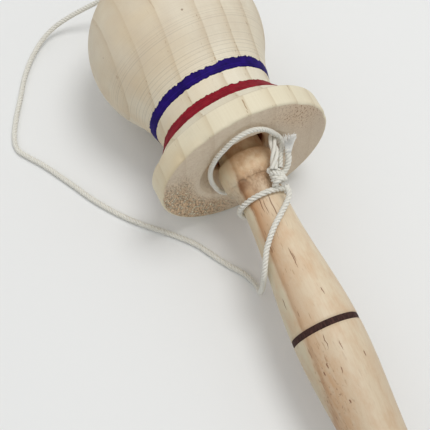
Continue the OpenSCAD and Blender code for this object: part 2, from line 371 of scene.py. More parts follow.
class Graph:
    """A node tree with short calls that add nodes and join them."""

    def __init__(self, tree: Tree) -> None:
        """Keeps the tree that nodes go into."""
        self.tree = tree

    def add(self, kind: str, settings: dict | None = None, inputs: dict | None = None) -> Node:
        """Adds a node, sets it up and feeds its inputs.

        Args:
            kind: Node type without its ShaderNode prefix.
            settings: Properties of the node.
            inputs: Values or output sockets by input name or number.

        Returns:
            The node.
        """
        node = self.tree.nodes.new("ShaderNode" + kind)
        for key, value in (settings or {}).items():
            setattr(node, key, value)
        for key, value in (inputs or {}).items():
            self.feed(node.inputs[key], value)
        return node

    def feed(self, socket: Socket, value: object) -> None:
        """Joins an output to an input, or sets the input's own value.

        Args:
            socket: The input.
            value: An output socket, or a constant.
        """
        if isinstance(value, Socket):
            self.tree.links.new(value, socket)
        else:
            socket.default_value = value

    def math(self, operation: str, *values: object) -> Socket:
        """Result of a math node on numbers or sockets."""
        return self.add("Math", {"operation": operation}, dict(enumerate(values))).outputs[0]

    def times(self, *factors: object) -> object:
        """Product of numbers or sockets."""
        return reduce(lambda first, second: self.math("MULTIPLY", first, second), factors)

    def mix(self, share: object, under: object, over: object, blend: str = "MIX") -> Socket:
        """Colour between two by a share from 0 to 1."""
        settings = {"data_type": "RGBA", "blend_type": blend}
        return self.add("Mix", settings, {0: share, 6: under, 7: over}).outputs[2]

    def over(self, colour: object, tone: object, *shares: object) -> Socket:
        """Colour with a tone laid over it by the product of some shares."""
        return self.mix(self.times(*shares), colour, tone)

    def tinted(self, colour: object, tint: object, *shares: object) -> Socket:
        """Colour multiplied with a tint by the product of some shares."""
        return self.mix(self.times(*shares), colour, tint, "MULTIPLY")

    def ramp(self, value: object, stops: Stops) -> Socket:
        """Grey curve of a value from 0 to 1, straight from stop to stop.

        Args:
            value: The value.
            stops: Pairs of place and height.

        Returns:
            The height at the value.
        """
        node = self.add("ValToRGB", None, {"Fac": value})
        band = node.color_ramp
        while len(band.elements) < len(stops):
            band.elements.new(1.0)
        for element, (place, height) in zip(band.elements, stops):
            element.position = place
            element.color = (height, height, height, 1.0)
        return node.outputs["Color"]

    def span(self, value: object, start: float, end: float, stops: Stops) -> Socket:
        """Grey curve like a ramp's, with place 0 at one distance and place 1 at another."""
        from_start = self.math("SUBTRACT", value, start) if start else value
        return self.ramp(self.math("DIVIDE", from_start, end - start), stops)

    def noise(
        self,
        vector: object,
        scale: float,
        detail: float = 3.0,
        rough: float = 0.5,
        stretch: Triple = (1.0, 1.0, 1.0),
    ) -> Socket:
        """Grey noise on a vector, each of whose parts may have its own stretch.

        Args:
            vector: Where the noise is taken.
            scale: Features in each unit.
            detail: Finer layers.
            rough: Strength of the finer layers.
            stretch: Factors on the vector's parts.

        Returns:
            The noise, from 0 to 1.
        """
        inputs = {"Scale": scale, "Detail": detail, "Roughness": rough}
        inputs["Vector"] = self.stretched(vector, stretch)
        return self.add("TexNoise", None, inputs).outputs["Fac"]

    def cells(self, vector: object, scale: float) -> Socket:
        """Distance from the nearest of scattered points."""
        inputs = {"Vector": vector, "Scale": scale}
        return self.add("TexVoronoi", {"feature": "F1"}, inputs).outputs["Distance"]

    def vectors(self, operation: str, first: object, second: object) -> Node:
        """Node of vector math on two vectors."""
        return self.add("VectorMath", {"operation": operation}, {0: first, 1: second})

    def stretched(self, vector: object, scale: Triple) -> Socket:
        """Vector with each of its parts multiplied by its own number."""
        return self.vectors("MULTIPLY", vector, scale).outputs[0]

    def parts(self, vector: object) -> tuple[Socket, ...]:
        """The three parts of a vector."""
        return tuple(self.add("SeparateXYZ", None, {0: vector}).outputs)

    def attribute(self, name: str, output: str = "Fac") -> Socket:
        """Named value of the piece."""
        return self.add("Attribute", {"attribute_name": name}).outputs[output]

    def group(self, tree: Tree, **inputs: object) -> Node:
        """Places a shader group and feeds its inputs."""
        return self.add("Group", {"node_tree": tree}, inputs)


class Effects:
    """Shader groups that the finishes place more than once, each built once."""

    def __init__(self) -> None:
        """Builds the groups."""
        self.ring_place = self._ring_place()
        self.pine_grain = self._pine_grain()
        self.turning_marks = self._turning_marks()
        self.torn_grain = self._torn_grain()
        self.split = self._split()

    @staticmethod
    def _start(name: str, inputs: dict, outputs: Sequence[str]) -> tuple[Graph, dict, Node]:
        """Makes an empty group.

        Args:
            name: Name of the group.
            inputs: Default by input name: a number, or None for a vector.
            outputs: Names of its numeric outputs.

        Returns:
            The graph to build in, the inputs' sockets by name and the output node.
        """
        tree = bpy.data.node_groups.new(name, "ShaderNodeTree")
        for key, default in inputs.items():
            kind = "NodeSocketVector" if default is None else "NodeSocketFloat"
            socket = tree.interface.new_socket(key, in_out="INPUT", socket_type=kind)
            if default is not None:
                socket.default_value = default
        for key in outputs:
            tree.interface.new_socket(key, in_out="OUTPUT", socket_type="NodeSocketFloat")
        source = tree.nodes.new("NodeGroupInput")
        return Graph(tree), {key: source.outputs[key] for key in inputs}, tree.nodes.new("NodeGroupOutput")

    def _ring_place(self) -> Tree:
        """Distance across the growth rings: sideways, with a tilt along X and a slow sway.

        Returns:
            The group.
        """
        inputs = {"Vector": None, "Tilt": 0.0, "Sway": 1.0, "Towards": 1.0}
        g, given, out = self._start("ring_place", inputs, ["Across"])
        slow = g.noise(given["Vector"], 1.0, 4.0, 0.6, (0.03, 0.06, 0.06))
        along, sideways, _ = g.parts(given["Vector"])
        across = g.math("ADD", sideways, g.times(along, given["Tilt"]))
        across = g.math("ADD", across, g.times(g.math("SUBTRACT", slow, 0.5), given["Sway"]))
        g.feed(out.inputs["Across"], g.times(across, given["Towards"]))
        return g.tree

    def _pine_grain(self) -> Tree:
        """Late wood up to the edge of each ring, fibre streaks and short resin dashes along X.

        Returns:
            The group.
        """
        names = ["Late Wood", "Fibre", "Dash"]
        g, given, out = self._start("pine_grain", {"Vector": None, "Ring": 0.0}, names)
        ring = g.math("FRACT", given["Ring"])
        late = g.ramp(ring, [(0.0, 0.05), (0.45, 0.0), (0.78, 0.28), (0.91, 0.7), (0.97, 1.0), (1.0, 0.08)])
        fibre = g.noise(given["Vector"], 1.0, 4.0, 0.62, (0.02, 1.9, 1.9))
        short = g.noise(given["Vector"], 1.0, 1.0, 0.5, (0.2, 1.8, 1.8))
        likely = g.ramp(ring, [(0.0, 0.5), (0.1, 0.15), (0.5, 0.2), (0.75, 0.6), (0.95, 1.0)])
        dash = g.times(g.ramp(short, [(0.0, 0.0), (0.66, 0.0), (0.72, 1.0)]), likely)
        for key, value in zip(names, (late, fibre, dash)):
            g.feed(out.inputs[key], value)
        return g.tree

    def _turning_marks(self) -> Tree:
        """Uneven rings that a turning tool leaves, as noise of the distance along the axis.

        Returns:
            The group.
        """
        g, given, out = self._start("turning_marks", {"Along": 0.0, "Pitch": 0.8}, ["Height"])
        place = g.math("DIVIDE", given["Along"], given["Pitch"])
        rings = g.add("TexNoise", {"noise_dimensions": "1D"}, {"W": place, "Scale": 1.0, "Detail": 2.0})
        g.feed(out.inputs["Height"], rings.outputs["Fac"])
        return g.tree

    def _torn_grain(self) -> Tree:
        """Coarse pits and crumbs of fibre, as on sawn or torn end grain.

        Returns:
            The group.
        """
        names = ["Pits", "Crumbs", "Height"]
        g, given, out = self._start("torn_grain", {"Vector": None, "Size": 1.0}, names)
        smaller = {0: given["Vector"], "Scale": g.math("DIVIDE", 1.0, given["Size"])}
        scaled = g.add("VectorMath", {"operation": "SCALE"}, smaller).outputs[0]
        pits = g.ramp(g.noise(scaled, 1.7, 4.0, 0.6), [(0.0, 1.0), (0.36, 0.9), (0.47, 0.0)])
        crumbs = g.ramp(g.cells(scaled, 1.0), [(0.0, 1.0), (0.3, 0.8), (0.46, 0.0)])
        height = g.math("SUBTRACT", crumbs, g.times(pits, 1.4))
        for key, value in zip(names, (pits, crumbs, height)):
            g.feed(out.inputs[key], value)
        return g.tree

    def _split(self) -> Tree:
        """Thin drying split along X: a mask round a turn on the surface, between two distances.

        Returns:
            The group.
        """
        inputs = {"Vector": None, "Turn": 0.0, "From": 0.0, "To": 10.0, "Width": 0.02}
        g, given, out = self._start("drying_split", inputs, ["Mask"])
        along, sideways, up = g.parts(given["Vector"])
        bend = g.noise(given["Vector"], 1.0, 2.0, 0.5, (0.35, 0.0, 0.0))
        middle = g.math("ADD", given["Turn"], g.times(g.math("SUBTRACT", bend, 0.5), 0.1))
        off = g.math("ABSOLUTE", g.math("SUBTRACT", g.math("ARCTAN2", sideways, up), middle))
        length = g.math("SUBTRACT", given["To"], given["From"])
        share = g.math("DIVIDE", g.math("SUBTRACT", along, given["From"]), length)
        taper = g.ramp(share, [(0.0, 0.0), (0.25, 1.0), (0.7, 0.8), (1.0, 0.0)])
        g.feed(out.inputs["Mask"], g.math("LESS_THAN", off, g.times(given["Width"], taper)))
        return g.tree


@dataclass(frozen=True)
class WoodTones:
    """Colours of a pine piece: pale wood, the rings' dark edges, fine streaks and short resin dashes."""

    early: Colour
    late: Colour
    fibre: Colour
    dash: Colour

    def colour(self, g: Graph, grain: Sockets, rings: Socket, streaks: float) -> Socket:
        """Wood colour from the grain group's masks, without the dashes.

        Args:
            g: Graph that the nodes go into.
            grain: The grain group's outputs.
            rings: Share of the late wood.
            streaks: Share of the fibre streaks.

        Returns:
            The colour.
        """
        colour = g.over(self.early, self.late, grain["Late Wood"], rings)
        streak = g.ramp(grain["Fibre"], [(0.0, 1.0), (0.42, 0.55), (0.6, 0.0)])
        return g.over(colour, self.fibre, streak, streaks)


@dataclass(frozen=True)
class RingCut:
    """How a piece was cut from the tree: where the edges of its growth rings cross it.

    Attributes:
        edges: Distances across, in millimetres, at which a ring ends, from low to high.
        towards: 1 where the rings grow towards +Y, and -1 where they grow the other way.
        tilt: Shift of the edges for each millimetre along the axis.
        sway: How far the edges wave.
        margin: Distance that the count of rings covers past the first and last edge.
    """

    edges: tuple[float, ...]
    towards: float
    tilt: float
    sway: float
    margin: float = 2.0

    def grain(self, g: Graph, effects: Effects, place: Socket) -> tuple[Socket, Sockets]:
        """Growth rings of a piece: their count runs in straight steps through a whole number at each edge.

        Args:
            g: Graph that the nodes go into.
            effects: Shared shader groups.
            place: Coordinates in the piece's own directions.

        Returns:
            The distance across the rings, and the grain group's outputs.
        """
        lean = {"Tilt": self.tilt, "Sway": self.sway, "Towards": self.towards}
        across = g.group(effects.ring_place, Vector=place, **lean).outputs["Across"]
        low, high = self.edges[0] - self.margin, self.edges[-1] + self.margin
        whole = len(self.edges) + 1
        stops = [(0.0, 0.5 / whole)]
        stops += [((edge - low) / (high - low), (i + 1) / whole) for i, edge in enumerate(self.edges)]
        stops.append((1.0, (whole - 0.5) / whole))
        count = g.times(g.span(across, low, high, stops), float(whole))
        return across, g.group(effects.pine_grain, Vector=place, Ring=count).outputs


class Finish(Graph):
    """A material with its Principled shader, and its graph."""

    def __init__(self, name: str, roughness: float, specular: float = 0.4) -> None:
        """Makes the material.

        Args:
            name: Name of the finish.
            roughness: Roughness of the bare surface.
            specular: Specular level of the surface.
        """
        self.material = bpy.data.materials.new(name)
        self.material.use_nodes = True
        super().__init__(self.material.node_tree)
        self.shader = self.tree.nodes["Principled BSDF"]
        self.shader.inputs["Roughness"].default_value = roughness
        self.shader.inputs["Specular IOR Level"].default_value = specular

    def object_mm(self) -> Socket:
        """Object coordinates in millimetres."""
        return self.stretched(self.add("TexCoord").outputs["Object"], (1 / MM,) * 3)

    def bump(self, height: object, distance: float, strength: object, under: Socket | None = None) -> Socket:
        """Normal of bumps of a height in metres of distance, over another normal if one is given."""
        inputs = {"Height": height, "Distance": distance, "Strength": strength}
        return self.add("Bump", None, inputs if under is None else {**inputs, "Normal": under}).outputs[0]

    def colour(self, value: Socket) -> None:
        """Feeds the base colour."""
        self.feed(self.shader.inputs["Base Color"], value)

    def normal(self, value: Socket) -> None:
        """Feeds the normal."""
        self.feed(self.shader.inputs["Normal"], value)


class TurnedFinish(Finish):
    """Finish of a turned piece, with coordinates in millimetres in the piece's own directions.

    Attributes:
        along: Distance along the piece's axis.
        sideways: Distance to the side.
        place: Distances along, sideways and up, as a vector.
    """

    def __init__(self, name: str, axis: TurnAxis, roughness: float, specular: float = 0.4) -> None:
        """Makes the material and its coordinates.

        Args:
            name: Name of the finish.
            axis: Axis of the piece.
            roughness: Roughness of the bare surface.
            specular: Specular level of the surface.
        """
        super().__init__(name, roughness, specular)
        off = self.vectors("SUBTRACT", self.object_mm(), tuple(axis.start)).outputs[0]
        ways = (axis.way, axis.side, axis.up)
        dots = [self.vectors("DOT_PRODUCT", off, tuple(way)).outputs["Value"] for way in ways]
        self.along, self.sideways, _ = dots
        self.place = self.add("CombineXYZ", None, dict(enumerate(dots))).outputs[0]


class BallPine(TurnedFinish):
    """Bare pale pine with turning rings, and sawn end grain on the flange's face.

    Attributes:
        rim_run: Distance behind the face over which the flange's tones change.
        ball_run: Distance behind the face over which the waist's and the ball's tones change.
        far_width: Distance to a side over which the painted shade on the ball's far side grows.
        rim_width: Distance to the other side over which the face's tone changes.
    """

    tones = WoodTones(
        early=linear(231, 224, 204),
        late=linear(188, 166, 130),
        fibre=linear(203, 188, 158),
        dash=linear(150, 116, 78),
    )
    cut = RingCut(
        edges=(-41.0, -34.7, -28.5, -21.4, -11.4, 1.4, 10.1, 18.0, 25.0, 33.0),
        towards=1.0,
        tilt=0.07,
        sway=1.2,
    )
    tool_pitch = 0.36
    crumb_size = 1.2
    rim_run = -20.0
    ball_run = -80.0
    far_width = -30.0
    rim_width = 31.0
    # Warm tone in cloudy patches, which also paints shade on the ball's far side, away from the lamp.
    honey_far_shade = linear(220, 199, 163)
    dust = linear(206, 190, 168)
    fleck = linear(118, 84, 54)
    rim_tint = linear(253, 251, 244)
    # Painted shade: a dark line along the flange's back edge, where the flare meets it.
    crease = linear(136, 104, 70)
    sawn = linear(220, 206, 186)
    sawn_pale = linear(238, 224, 200)
    face_ring = linear(176, 148, 116)
    rough_side = linear(236, 196, 148)
    crumbly_side = linear(228, 190, 146)
    mottle = linear(206, 184, 158)
    far_rim = linear(196, 178, 156)
    pit = linear(146, 98, 60)
    crumb = linear(255, 248, 222)
    mouth = linear(244, 212, 172)
    # Painted shade on the socket's walls, deeper in than the mouth.
    socket = linear(176, 102, 68)

    def __init__(self, effects: Effects, axis: TurnAxis) -> None:
        """Makes the material.

        Args:
            effects: Shared shader groups.
            axis: Axis of the ball.
        """
        super().__init__("ball_pine", axis, 0.62)
        _, self.grain = self.cut.grain(self, effects, self.place)
        self.torn = self.group(effects.torn_grain, Vector=self.place, Size=self.crumb_size).outputs
        marks = self.group(effects.turning_marks, Along=self.along, Pitch=self.tool_pitch).outputs[0]
        near_waist = self.behind(self.ball_run, [(0.29, 0.1), (0.34, 0.9), (0.46, 0.7), (0.62, 0.12)])
        side = self.tinted(self._side(), self.ramp(marks, [(0.36, 0.8), (0.46, 1.0)]), near_waist)
        face = self.attribute("face")
        crumbly = self.attribute("crumbly")
        whole = self.mix(face, self._worn(side), self._face(crumbly))
        # Deeper in, the mouth's tone gives way to painted shade on the socket's walls.
        hollow = self.mix(self.behind(self.rim_run, [(0.28, 0.0), (0.36, 1.0)]), self.mouth, self.socket)
        self.colour(self.mix(self.attribute("inside"), whole, hollow))

        ringed = self.bump(marks, 0.00008, self.times(near_waist, 0.7))
        fibrous = self.bump(self.grain["Fibre"], 0.00006, 0.2, ringed)
        unplaned = self.math("ADD", self.times(face, 0.05), crumbly)
        self.normal(self.bump(self.times(self.torn["Height"], unplaned), 0.0008, 1.0, fibrous))

    def behind(self, run: float, stops: Stops) -> Socket:
        """Grey curve of the distance behind the face, over a run."""
        return self.span(self.along, 0, run, stops)

    def _side(self) -> Socket:
        """Colour of the turned side: rings with dashes on their edges, a warm tone in cloudy patches that
        grows into painted shade towards the far side, and dust.

        Returns:
            The colour.
        """
        off_rim = self.behind(self.rim_run, [(0.3, 0.4), (0.7, 0.6)])
        colour = self.tones.colour(self, self.grain, off_rim, 0.18)
        on_line = self.times(self.grain["Dash"], self.grain["Late Wood"], 1.6)
        colour = self.over(colour, self.tones.dash, self.math("MINIMUM", on_line, 0.7))
        # Warm patches, growing towards -Y as painted shade on the side away from the lamp.
        cloud = self.ramp(self.noise(self.place, 0.045), [(0.38, 0.15), (0.62, 1.0)])
        far_side = self.span(self.sideways, 0, self.far_width, [(0.0, 0.12), (0.2, 0.45), (0.75, 0.85)])
        colour = self.over(colour, self.honey_far_shade, cloud, far_side)
        dusty = self.ramp(self.noise(self.place, 0.11, 4.0, 0.6), [(0.3, 0.25), (0.7, 0.75)])
        return self.over(colour, self.dust, dusty, self.behind(self.ball_run, [(0.3, 0.0), (0.5, 0.75)]))

    def _worn(self, colour: Socket) -> Socket:
        """Colour of the side with its dark flecks, a yellower flange and painted shade in a line along the
        flange's back edge.

        Args:
            colour: Colour of the turned side.

        Returns:
            The colour.
        """
        fleck = self.ramp(self.cells(self.place, 0.085), [(0.03, 1.0), (0.045, 0.0)])
        colour = self.over(colour, self.fleck, fleck, 0.7)
        colour = self.tinted(colour, self.rim_tint, self.behind(self.rim_run, [(0.3, 1.0), (0.5, 0.0)]))
        # Painted shade in a line along the flange's back edge.
        return self.over(colour, self.crease, self.attribute("crease"))

    def _face(self, crumbly: Socket) -> Socket:
        """Colour of the sawn face: blotches, faint rings and mottling, with dark pits and pale crumbs.

        Args:
            crumbly: Share of crumbly grain.

        Returns:
            The colour.
        """
        rough = self.attribute("rough")
        colour = self.mix(self.noise(self.place, 0.075, 2.0), self.sawn, self.sawn_pale)
        colour = self.over(colour, self.face_ring, self.grain["Late Wood"], 0.22)
        colour = self.over(colour, self.rough_side, rough, 0.4)
        colour = self.over(colour, self.crumbly_side, crumbly, 0.6)
        mottle = self.ramp(self.noise(self.place, 0.55, 4.0, 0.62), [(0.36, 0.0), (0.64, 1.0)])
        colour = self.over(colour, self.mottle, mottle, 0.35)
        far_edge = self.span(self.sideways, 0, self.rim_width, [(0.1, 0.0), (0.9, 0.5)])
        colour = self.over(colour, self.far_rim, far_edge)
        pitted = self.math("SUBTRACT", self.times(rough, 1.1), self.times(crumbly, 0.75))
        colour = self.over(colour, self.pit, self.torn["Pits"], self.math("ADD", 0.1, pitted))
        return self.over(colour, self.crumb, self.torn["Crumbs"], crumbly)


class StickPine(TurnedFinish):
    """Smooth warm pine with an orange streak at a ring's edge, torn grain at the neck and drying splits.

    Attributes:
        splits: Turn from straight up, start, end and half width in radians of each drying split.
        neck_run: Distance along, over which the bead's and the neck's tones change.
        grip_run: Distance along, over which the grip's tones change.
        bead_width: Distance to a side over which the painted shade on the bead's far side grows.
    """

    tones = WoodTones(
        early=linear(226, 211, 184),
        late=linear(182, 122, 66),
        fibre=linear(200, 171, 132),
        dash=linear(132, 88, 54),
    )
    cut = RingCut(edges=(-15.2, 4.8, 24.8), towards=-1.0, tilt=0.062, sway=2.0)
    splits = (
        (-0.38, 14.6, 20.5, 0.020),
        (-0.24, 15.6, 22.0, 0.014),
        (0.05, 14.4, 25.0, 0.024),
        (-0.15, 34.4, 42.4, 0.016),
        (-0.11, 36.5, 40.0, 0.010),
        (0.20, 50.6, 53.5, 0.015),
        (-1.09, 48.0, 52.4, 0.015),
        (-0.35, 64.4, 69.6, 0.012),
        (-0.02, 68.4, 71.6, 0.010),
        (0.53, 73.6, 75.8, 0.018),
        (-0.60, 72.8, 74.8, 0.018),
        (-0.79, 74.6, 76.2, 0.020),
        (-0.29, 75.6, 78.0, 0.012),
        (-0.47, 85.4, 86.8, 0.024),
    )
    tool_pitch = 1.1
    crumb_size = 1.3
    neck_run = 20.0
    grip_run = 120.0
    bead_width = 10.0
    sapwood = linear(208, 200, 172)
    stain = linear(204, 160, 116)
    hand_tint = linear(224, 217, 212)
    warm_bead = linear(236, 196, 144)
    # Painted light on the bead near the mouth, where it lies in shade.
    bead_painted_light = linear(244, 226, 190)
    smudge = linear(196, 150, 108)
    # Painted shade on the bead's far side.
    bead_painted_shade = linear(186, 142, 102)
    soil = linear(190, 138, 88)
    speck = linear(116, 74, 46)
    torn_streak = linear(174, 138, 104)
    torn_sapwood = linear(198, 182, 160)
    fray = linear(140, 100, 70)
    core = linear(112, 70, 38)
    blot = linear(128, 84, 48)
    crack = linear(116, 68, 38)

    def __init__(self, effects: Effects, axis: TurnAxis) -> None:
        """Makes the material.

        Args:
            effects: Shared shader groups.
            axis: Axis of the stick.
        """
        super().__init__("stick_pine", axis, 0.5)
        across, self.grain = self.cut.grain(self, effects, self._bent())
        self.past_edge = self.math("SUBTRACT", across, self.cut.edges[1])
        self.pale_side = self.span(self.past_edge, -0.4, 0.6, [(0.0, 0.0), (1.0, 0.65)])
        self.streak_side = self.math("SUBTRACT", 1.0, self.times(self.pale_side, 1.4))
        torn_side = self.times(self.attribute("torn"), self.streak_side)
        cracked = self._cracked(effects)
        colour = self._soiled(self._bead(self._handled()))
        colour = self._streak(self._neck(colour, torn_side))
        self.colour(self.over(colour, self.crack, cracked, 0.8))

        marks = self.group(effects.turning_marks, Along=self.along, Pitch=self.tool_pitch).outputs[0]
        fibres = self.stretched(self.place, (0.6, 1.0, 1.0))
        torn = self.group(effects.torn_grain, Vector=fibres, Size=self.crumb_size).outputs["Height"]
        ringed = self.bump(marks, 0.00005, 0.35)
        fibrous = self.bump(self.grain["Fibre"], 0.00006, 0.3, ringed)
        pitted = self.bump(self.times(torn, torn_side), 0.0001, 0.5, fibrous)
        self.normal(self.bump(self.math("SUBTRACT", 1.0, cracked), 0.0003, 0.6, pitted))

    def near(self, run: float, stops: Stops) -> Socket:
        """Grey curve of the distance along the stick, over a run."""
        return self.span(self.along, 0, run, stops)

    def _bent(self) -> Socket:
        """Coordinates for the rings: their edge bends at the bead and frays down the grip.

        Returns:
            The coordinates.
        """
        at_bead = self.near(self.neck_run, [(0.1, 1.0), (0.45, 0.7), (0.9, 0.0)])
        fuzz = self.math("SUBTRACT", self.noise(self.place, 1.0, 4.0, 0.65, (0.12, 0.9, 0.9)), 0.5)
        frayed = self.times(self.near(self.grip_run, [(0.45, 0.3), (0.62, 1.0)]), 2.6)
        shift = self.math("ADD", self.times(at_bead, 1.8), self.times(fuzz, frayed))
        return self.vectors("ADD", self.place, self.add("CombineXYZ", None, {1: shift}).outputs[0]).outputs[0]

    def _handled(self) -> Socket:
        """Colour of the wood: rings that fade along the grip, dashes, sapwood, stains and wear by hands.

        Returns:
            The colour.
        """
        stops = [(0.06, 0.5), (0.1, 0.9), (0.16, 0.9), (0.3, 0.52), (0.7, 0.36)]
        colour = self.tones.colour(self, self.grain, self.near(self.grip_run, stops), 0.3)
        colour = self.over(colour, self.tones.dash, self.grain["Dash"], 0.55)
        colour = self.over(colour, self.sapwood, self.pale_side)
        stain = self.noise(self.place, 0.22, 5.0, 0.62, (0.5, 1.0, 1.0))
        colour = self.over(colour, self.stain, self.ramp(stain, [(0.42, 0.0), (0.72, 0.5)]))
        worn = self.near(self.grip_run, [(0.15, 0.0), (0.45, 0.3), (0.72, 1.0)])
        return self.tinted(colour, self.hand_tint, worn, 0.6)

    def _bead(self, colour: Socket) -> Socket:
        """Colour with the bead's tones: warmer, lighter near the mouth by painted light, smudged on the
        streak's side and darker on the far side by painted shade.

        Args:
            colour: Colour of the wood so far.

        Returns:
            The colour.
        """
        warm = self.near(self.neck_run, [(0.3, 1.0), (0.6, 0.0)])
        off_sapwood = self.math("SUBTRACT", 0.25, self.times(self.pale_side, 0.25))
        colour = self.over(colour, self.warm_bead, warm, off_sapwood)
        # Painted light near the mouth, lifting the bead out of the shade there.
        colour = self.over(colour, self.bead_painted_light, self.near(self.neck_run, [(0.3, 0.12), (0.6, 0.0)]))
        smudge = self.ramp(self.noise(self.place, 0.35, 4.0, 0.6), [(0.42, 0.0), (0.64, 1.0)])
        smudged = self.near(self.neck_run, [(0.3, 0.62), (0.55, 0.0)])
        colour = self.over(colour, self.smudge, smudge, smudged, self.streak_side)
        # Painted shade on the bead's far side, towards +Y.
        far_side = self.span(self.sideways, 0, self.bead_width, [(0.1, 0.0), (0.75, 0.6)])
        return self.over(colour, self.bead_painted_shade, far_side, self.near(self.neck_run, [(0.4, 1.0), (0.75, 0.0)]))

    def _soiled(self, colour: Socket) -> Socket:
        """Colour with the soil and specks that lie beside the ring's edge, most of all down the grip.

        Args:
            colour: Colour of the wood so far.

        Returns:
            The colour.
        """
        beside = self.span(self.past_edge, -8.0, 1.0, [(0.1, 0.0), (0.55, 0.9), (0.88, 1.0), (1.0, 0.0)])
        soiled = self.times(beside, self.near(self.grip_run, [(0.5, 0.12), (0.62, 1.0)]))
        soil = self.noise(self.place, 0.5, 6.0, 0.7, (0.3, 1.0, 1.0))
        colour = self.over(colour, self.soil, self.ramp(soil, [(0.4, 0.0), (0.62, 0.42)]), soiled)
        specks = self.noise(self.place, 1.0, 2.0, 0.5, (0.8, 1.6, 1.6))
        return self.over(colour, self.speck, self.ramp(specks, [(0.645, 0.0), (0.7, 0.55)]), soiled)

    def _neck(self, colour: Socket, torn_side: Socket) -> Socket:
        """Colour with the torn grain at the neck and the dark fibres in it.

        Args:
            colour: Colour of the wood.
            torn_side: Share of torn grain on the streak's side.

        Returns:
            The colour.
        """
        torn_pale = self.times(self.attribute("torn"), self.pale_side)
        colour = self.over(colour, self.torn_streak, torn_side, 0.6)
        colour = self.over(colour, self.torn_sapwood, torn_pale)
        frayed = self.noise(self.place, 1.0, 5.0, 0.7, (0.9, 1.3, 1.3))
        torn = self.times(self.math("MAXIMUM", torn_side, self.times(torn_pale, 1.5)), 0.55)
        return self.over(colour, self.fray, self.ramp(frayed, [(0.4, 1.0), (0.56, 0.0)]), torn)

    def _streak(self, colour: Socket) -> Socket:
        """Colour with the streak's dark core at the ring's edge, and a blot on it at the bead's end.

        Args:
            colour: Colour of the wood so far.

        Returns:
            The colour.
        """
        core = self.span(self.past_edge, -1.4, 0.3, [(0.0, 0.0), (0.5, 1.0), (1.0, 0.0)])
        stops = [(0.1, 0.2), (0.34, 0.4), (0.42, 0.8), (0.6, 0.5), (0.85, 0.35), (1.0, 0.2)]
        colour = self.over(colour, self.core, core, self.near(self.neck_run, stops))
        blot = self.span(self.past_edge, -4.0, 0.2, [(0.0, 0.0), (0.6, 0.8), (0.9, 0.8), (1.0, 0.0)])
        at_end = self.near(self.neck_run, [(0.33, 0.0), (0.41, 1.0), (0.48, 0.8), (0.56, 0.0)])
        return self.over(colour, self.blot, blot, at_end)

    def _cracked(self, effects: Effects) -> Socket:
        """Mask of all the drying splits: 1 in a split and 0 elsewhere.

        Args:
            effects: Shared shader groups.

        Returns:
            The mask.
        """
        cracked = 0.0
        for turn, start, end, width in self.splits:
            split = self.group(effects.split, Vector=self.place, Turn=turn, From=start, To=end, Width=width)
            cracked = self.math("MAXIMUM", cracked, split.outputs[0])
        return cracked


class BandPaint(TurnedFinish):
    """Thin matt paint, brushed on as the ball turned."""

    brush_pitch = 0.5

    def __init__(self, name: str, effects: Effects, axis: TurnAxis, thick: Colour, thin: Colour) -> None:
        """Makes the material.

        Args:
            name: Name of the finish.
            effects: Shared shader groups.
            axis: Axis of the ball.
            thick: Colour of the full coat.
            thin: Colour where the brush left less.
        """
        super().__init__(name, axis, 0.6, 0.06)
        marks = self.group(effects.turning_marks, Along=self.along, Pitch=self.brush_pitch).outputs[0]
        patch = self.noise(self.place, 0.35)
        self.colour(self.mix(self.ramp(self.times(marks, patch), [(0.1, 0.0), (0.34, 1.0)]), thin, thick))
        self.normal(self.bump(patch, 0.0001, 0.4, self.bump(marks, 0.0001, 0.5)))


class BurntWood(TurnedFinish):
    """Char, cracked across, with brown where it is thinner."""

    char = linear(46, 27, 24)
    brown = linear(78, 50, 44)

    def __init__(self, axis: TurnAxis) -> None:
        """Makes the material.

        Args:
            axis: Axis of the stick.
        """
        super().__init__("burnt_line", axis, 0.8, 0.25)
        flakes = self.noise(self.place, 1.0, 4.0, 0.5, (0.6, 2.2, 2.2))
        self.colour(self.mix(self.ramp(flakes, [(0.35, 0.0), (0.7, 1.0)]), self.char, self.brown))
        self.normal(self.bump(flakes, 0.0002, 0.7))


class Cotton(Finish):
    """Off-white cotton whose fibres follow the strands, with painted light on single hairs and painted shade
    in the furrows between strands.
    """

    grey = linear(224, 221, 208)
    white = linear(246, 245, 238)
    # Painted light for single hairs, and painted shade for the furrows between strands.
    hair = linear(253, 253, 249)
    between = linear(162, 152, 128)

    def __init__(self) -> None:
        """Makes the material."""
        super().__init__("cotton_cord", 0.9, 0.2)
        self.shader.inputs["Sheen Weight"].default_value = 0.25
        self.shader.inputs["Sheen Roughness"].default_value = 0.5
        hairs = self.noise(self.attribute("fibre", "Vector"), 1.0, 3.0, 0.6, (9.0, 9.0, 0.7))
        # Share of painted shade in the furrows; -1 on single hairs, for painted light.
        deep = self.attribute("deep")
        colour = self.mix(self.ramp(hairs, [(0.3, 0.0), (0.7, 1.0)]), self.grey, self.white)
        colour = self.over(colour, self.hair, deep, -0.9)
        self.colour(self.over(colour, self.between, deep, 0.85))
        self.normal(self.bump(hairs, 0.00012, 0.8))


class PaleTable(Finish):
    """Plain pale table, with the faintest mottling."""

    low = linear(233, 234, 233)
    high = linear(236, 237, 236)

    def __init__(self) -> None:
        """Makes the material."""
        super().__init__("pale_table", 0.7, 0.2)
        self.colour(self.mix(self.noise(self.object_mm(), 0.006, 2.0), self.low, self.high))


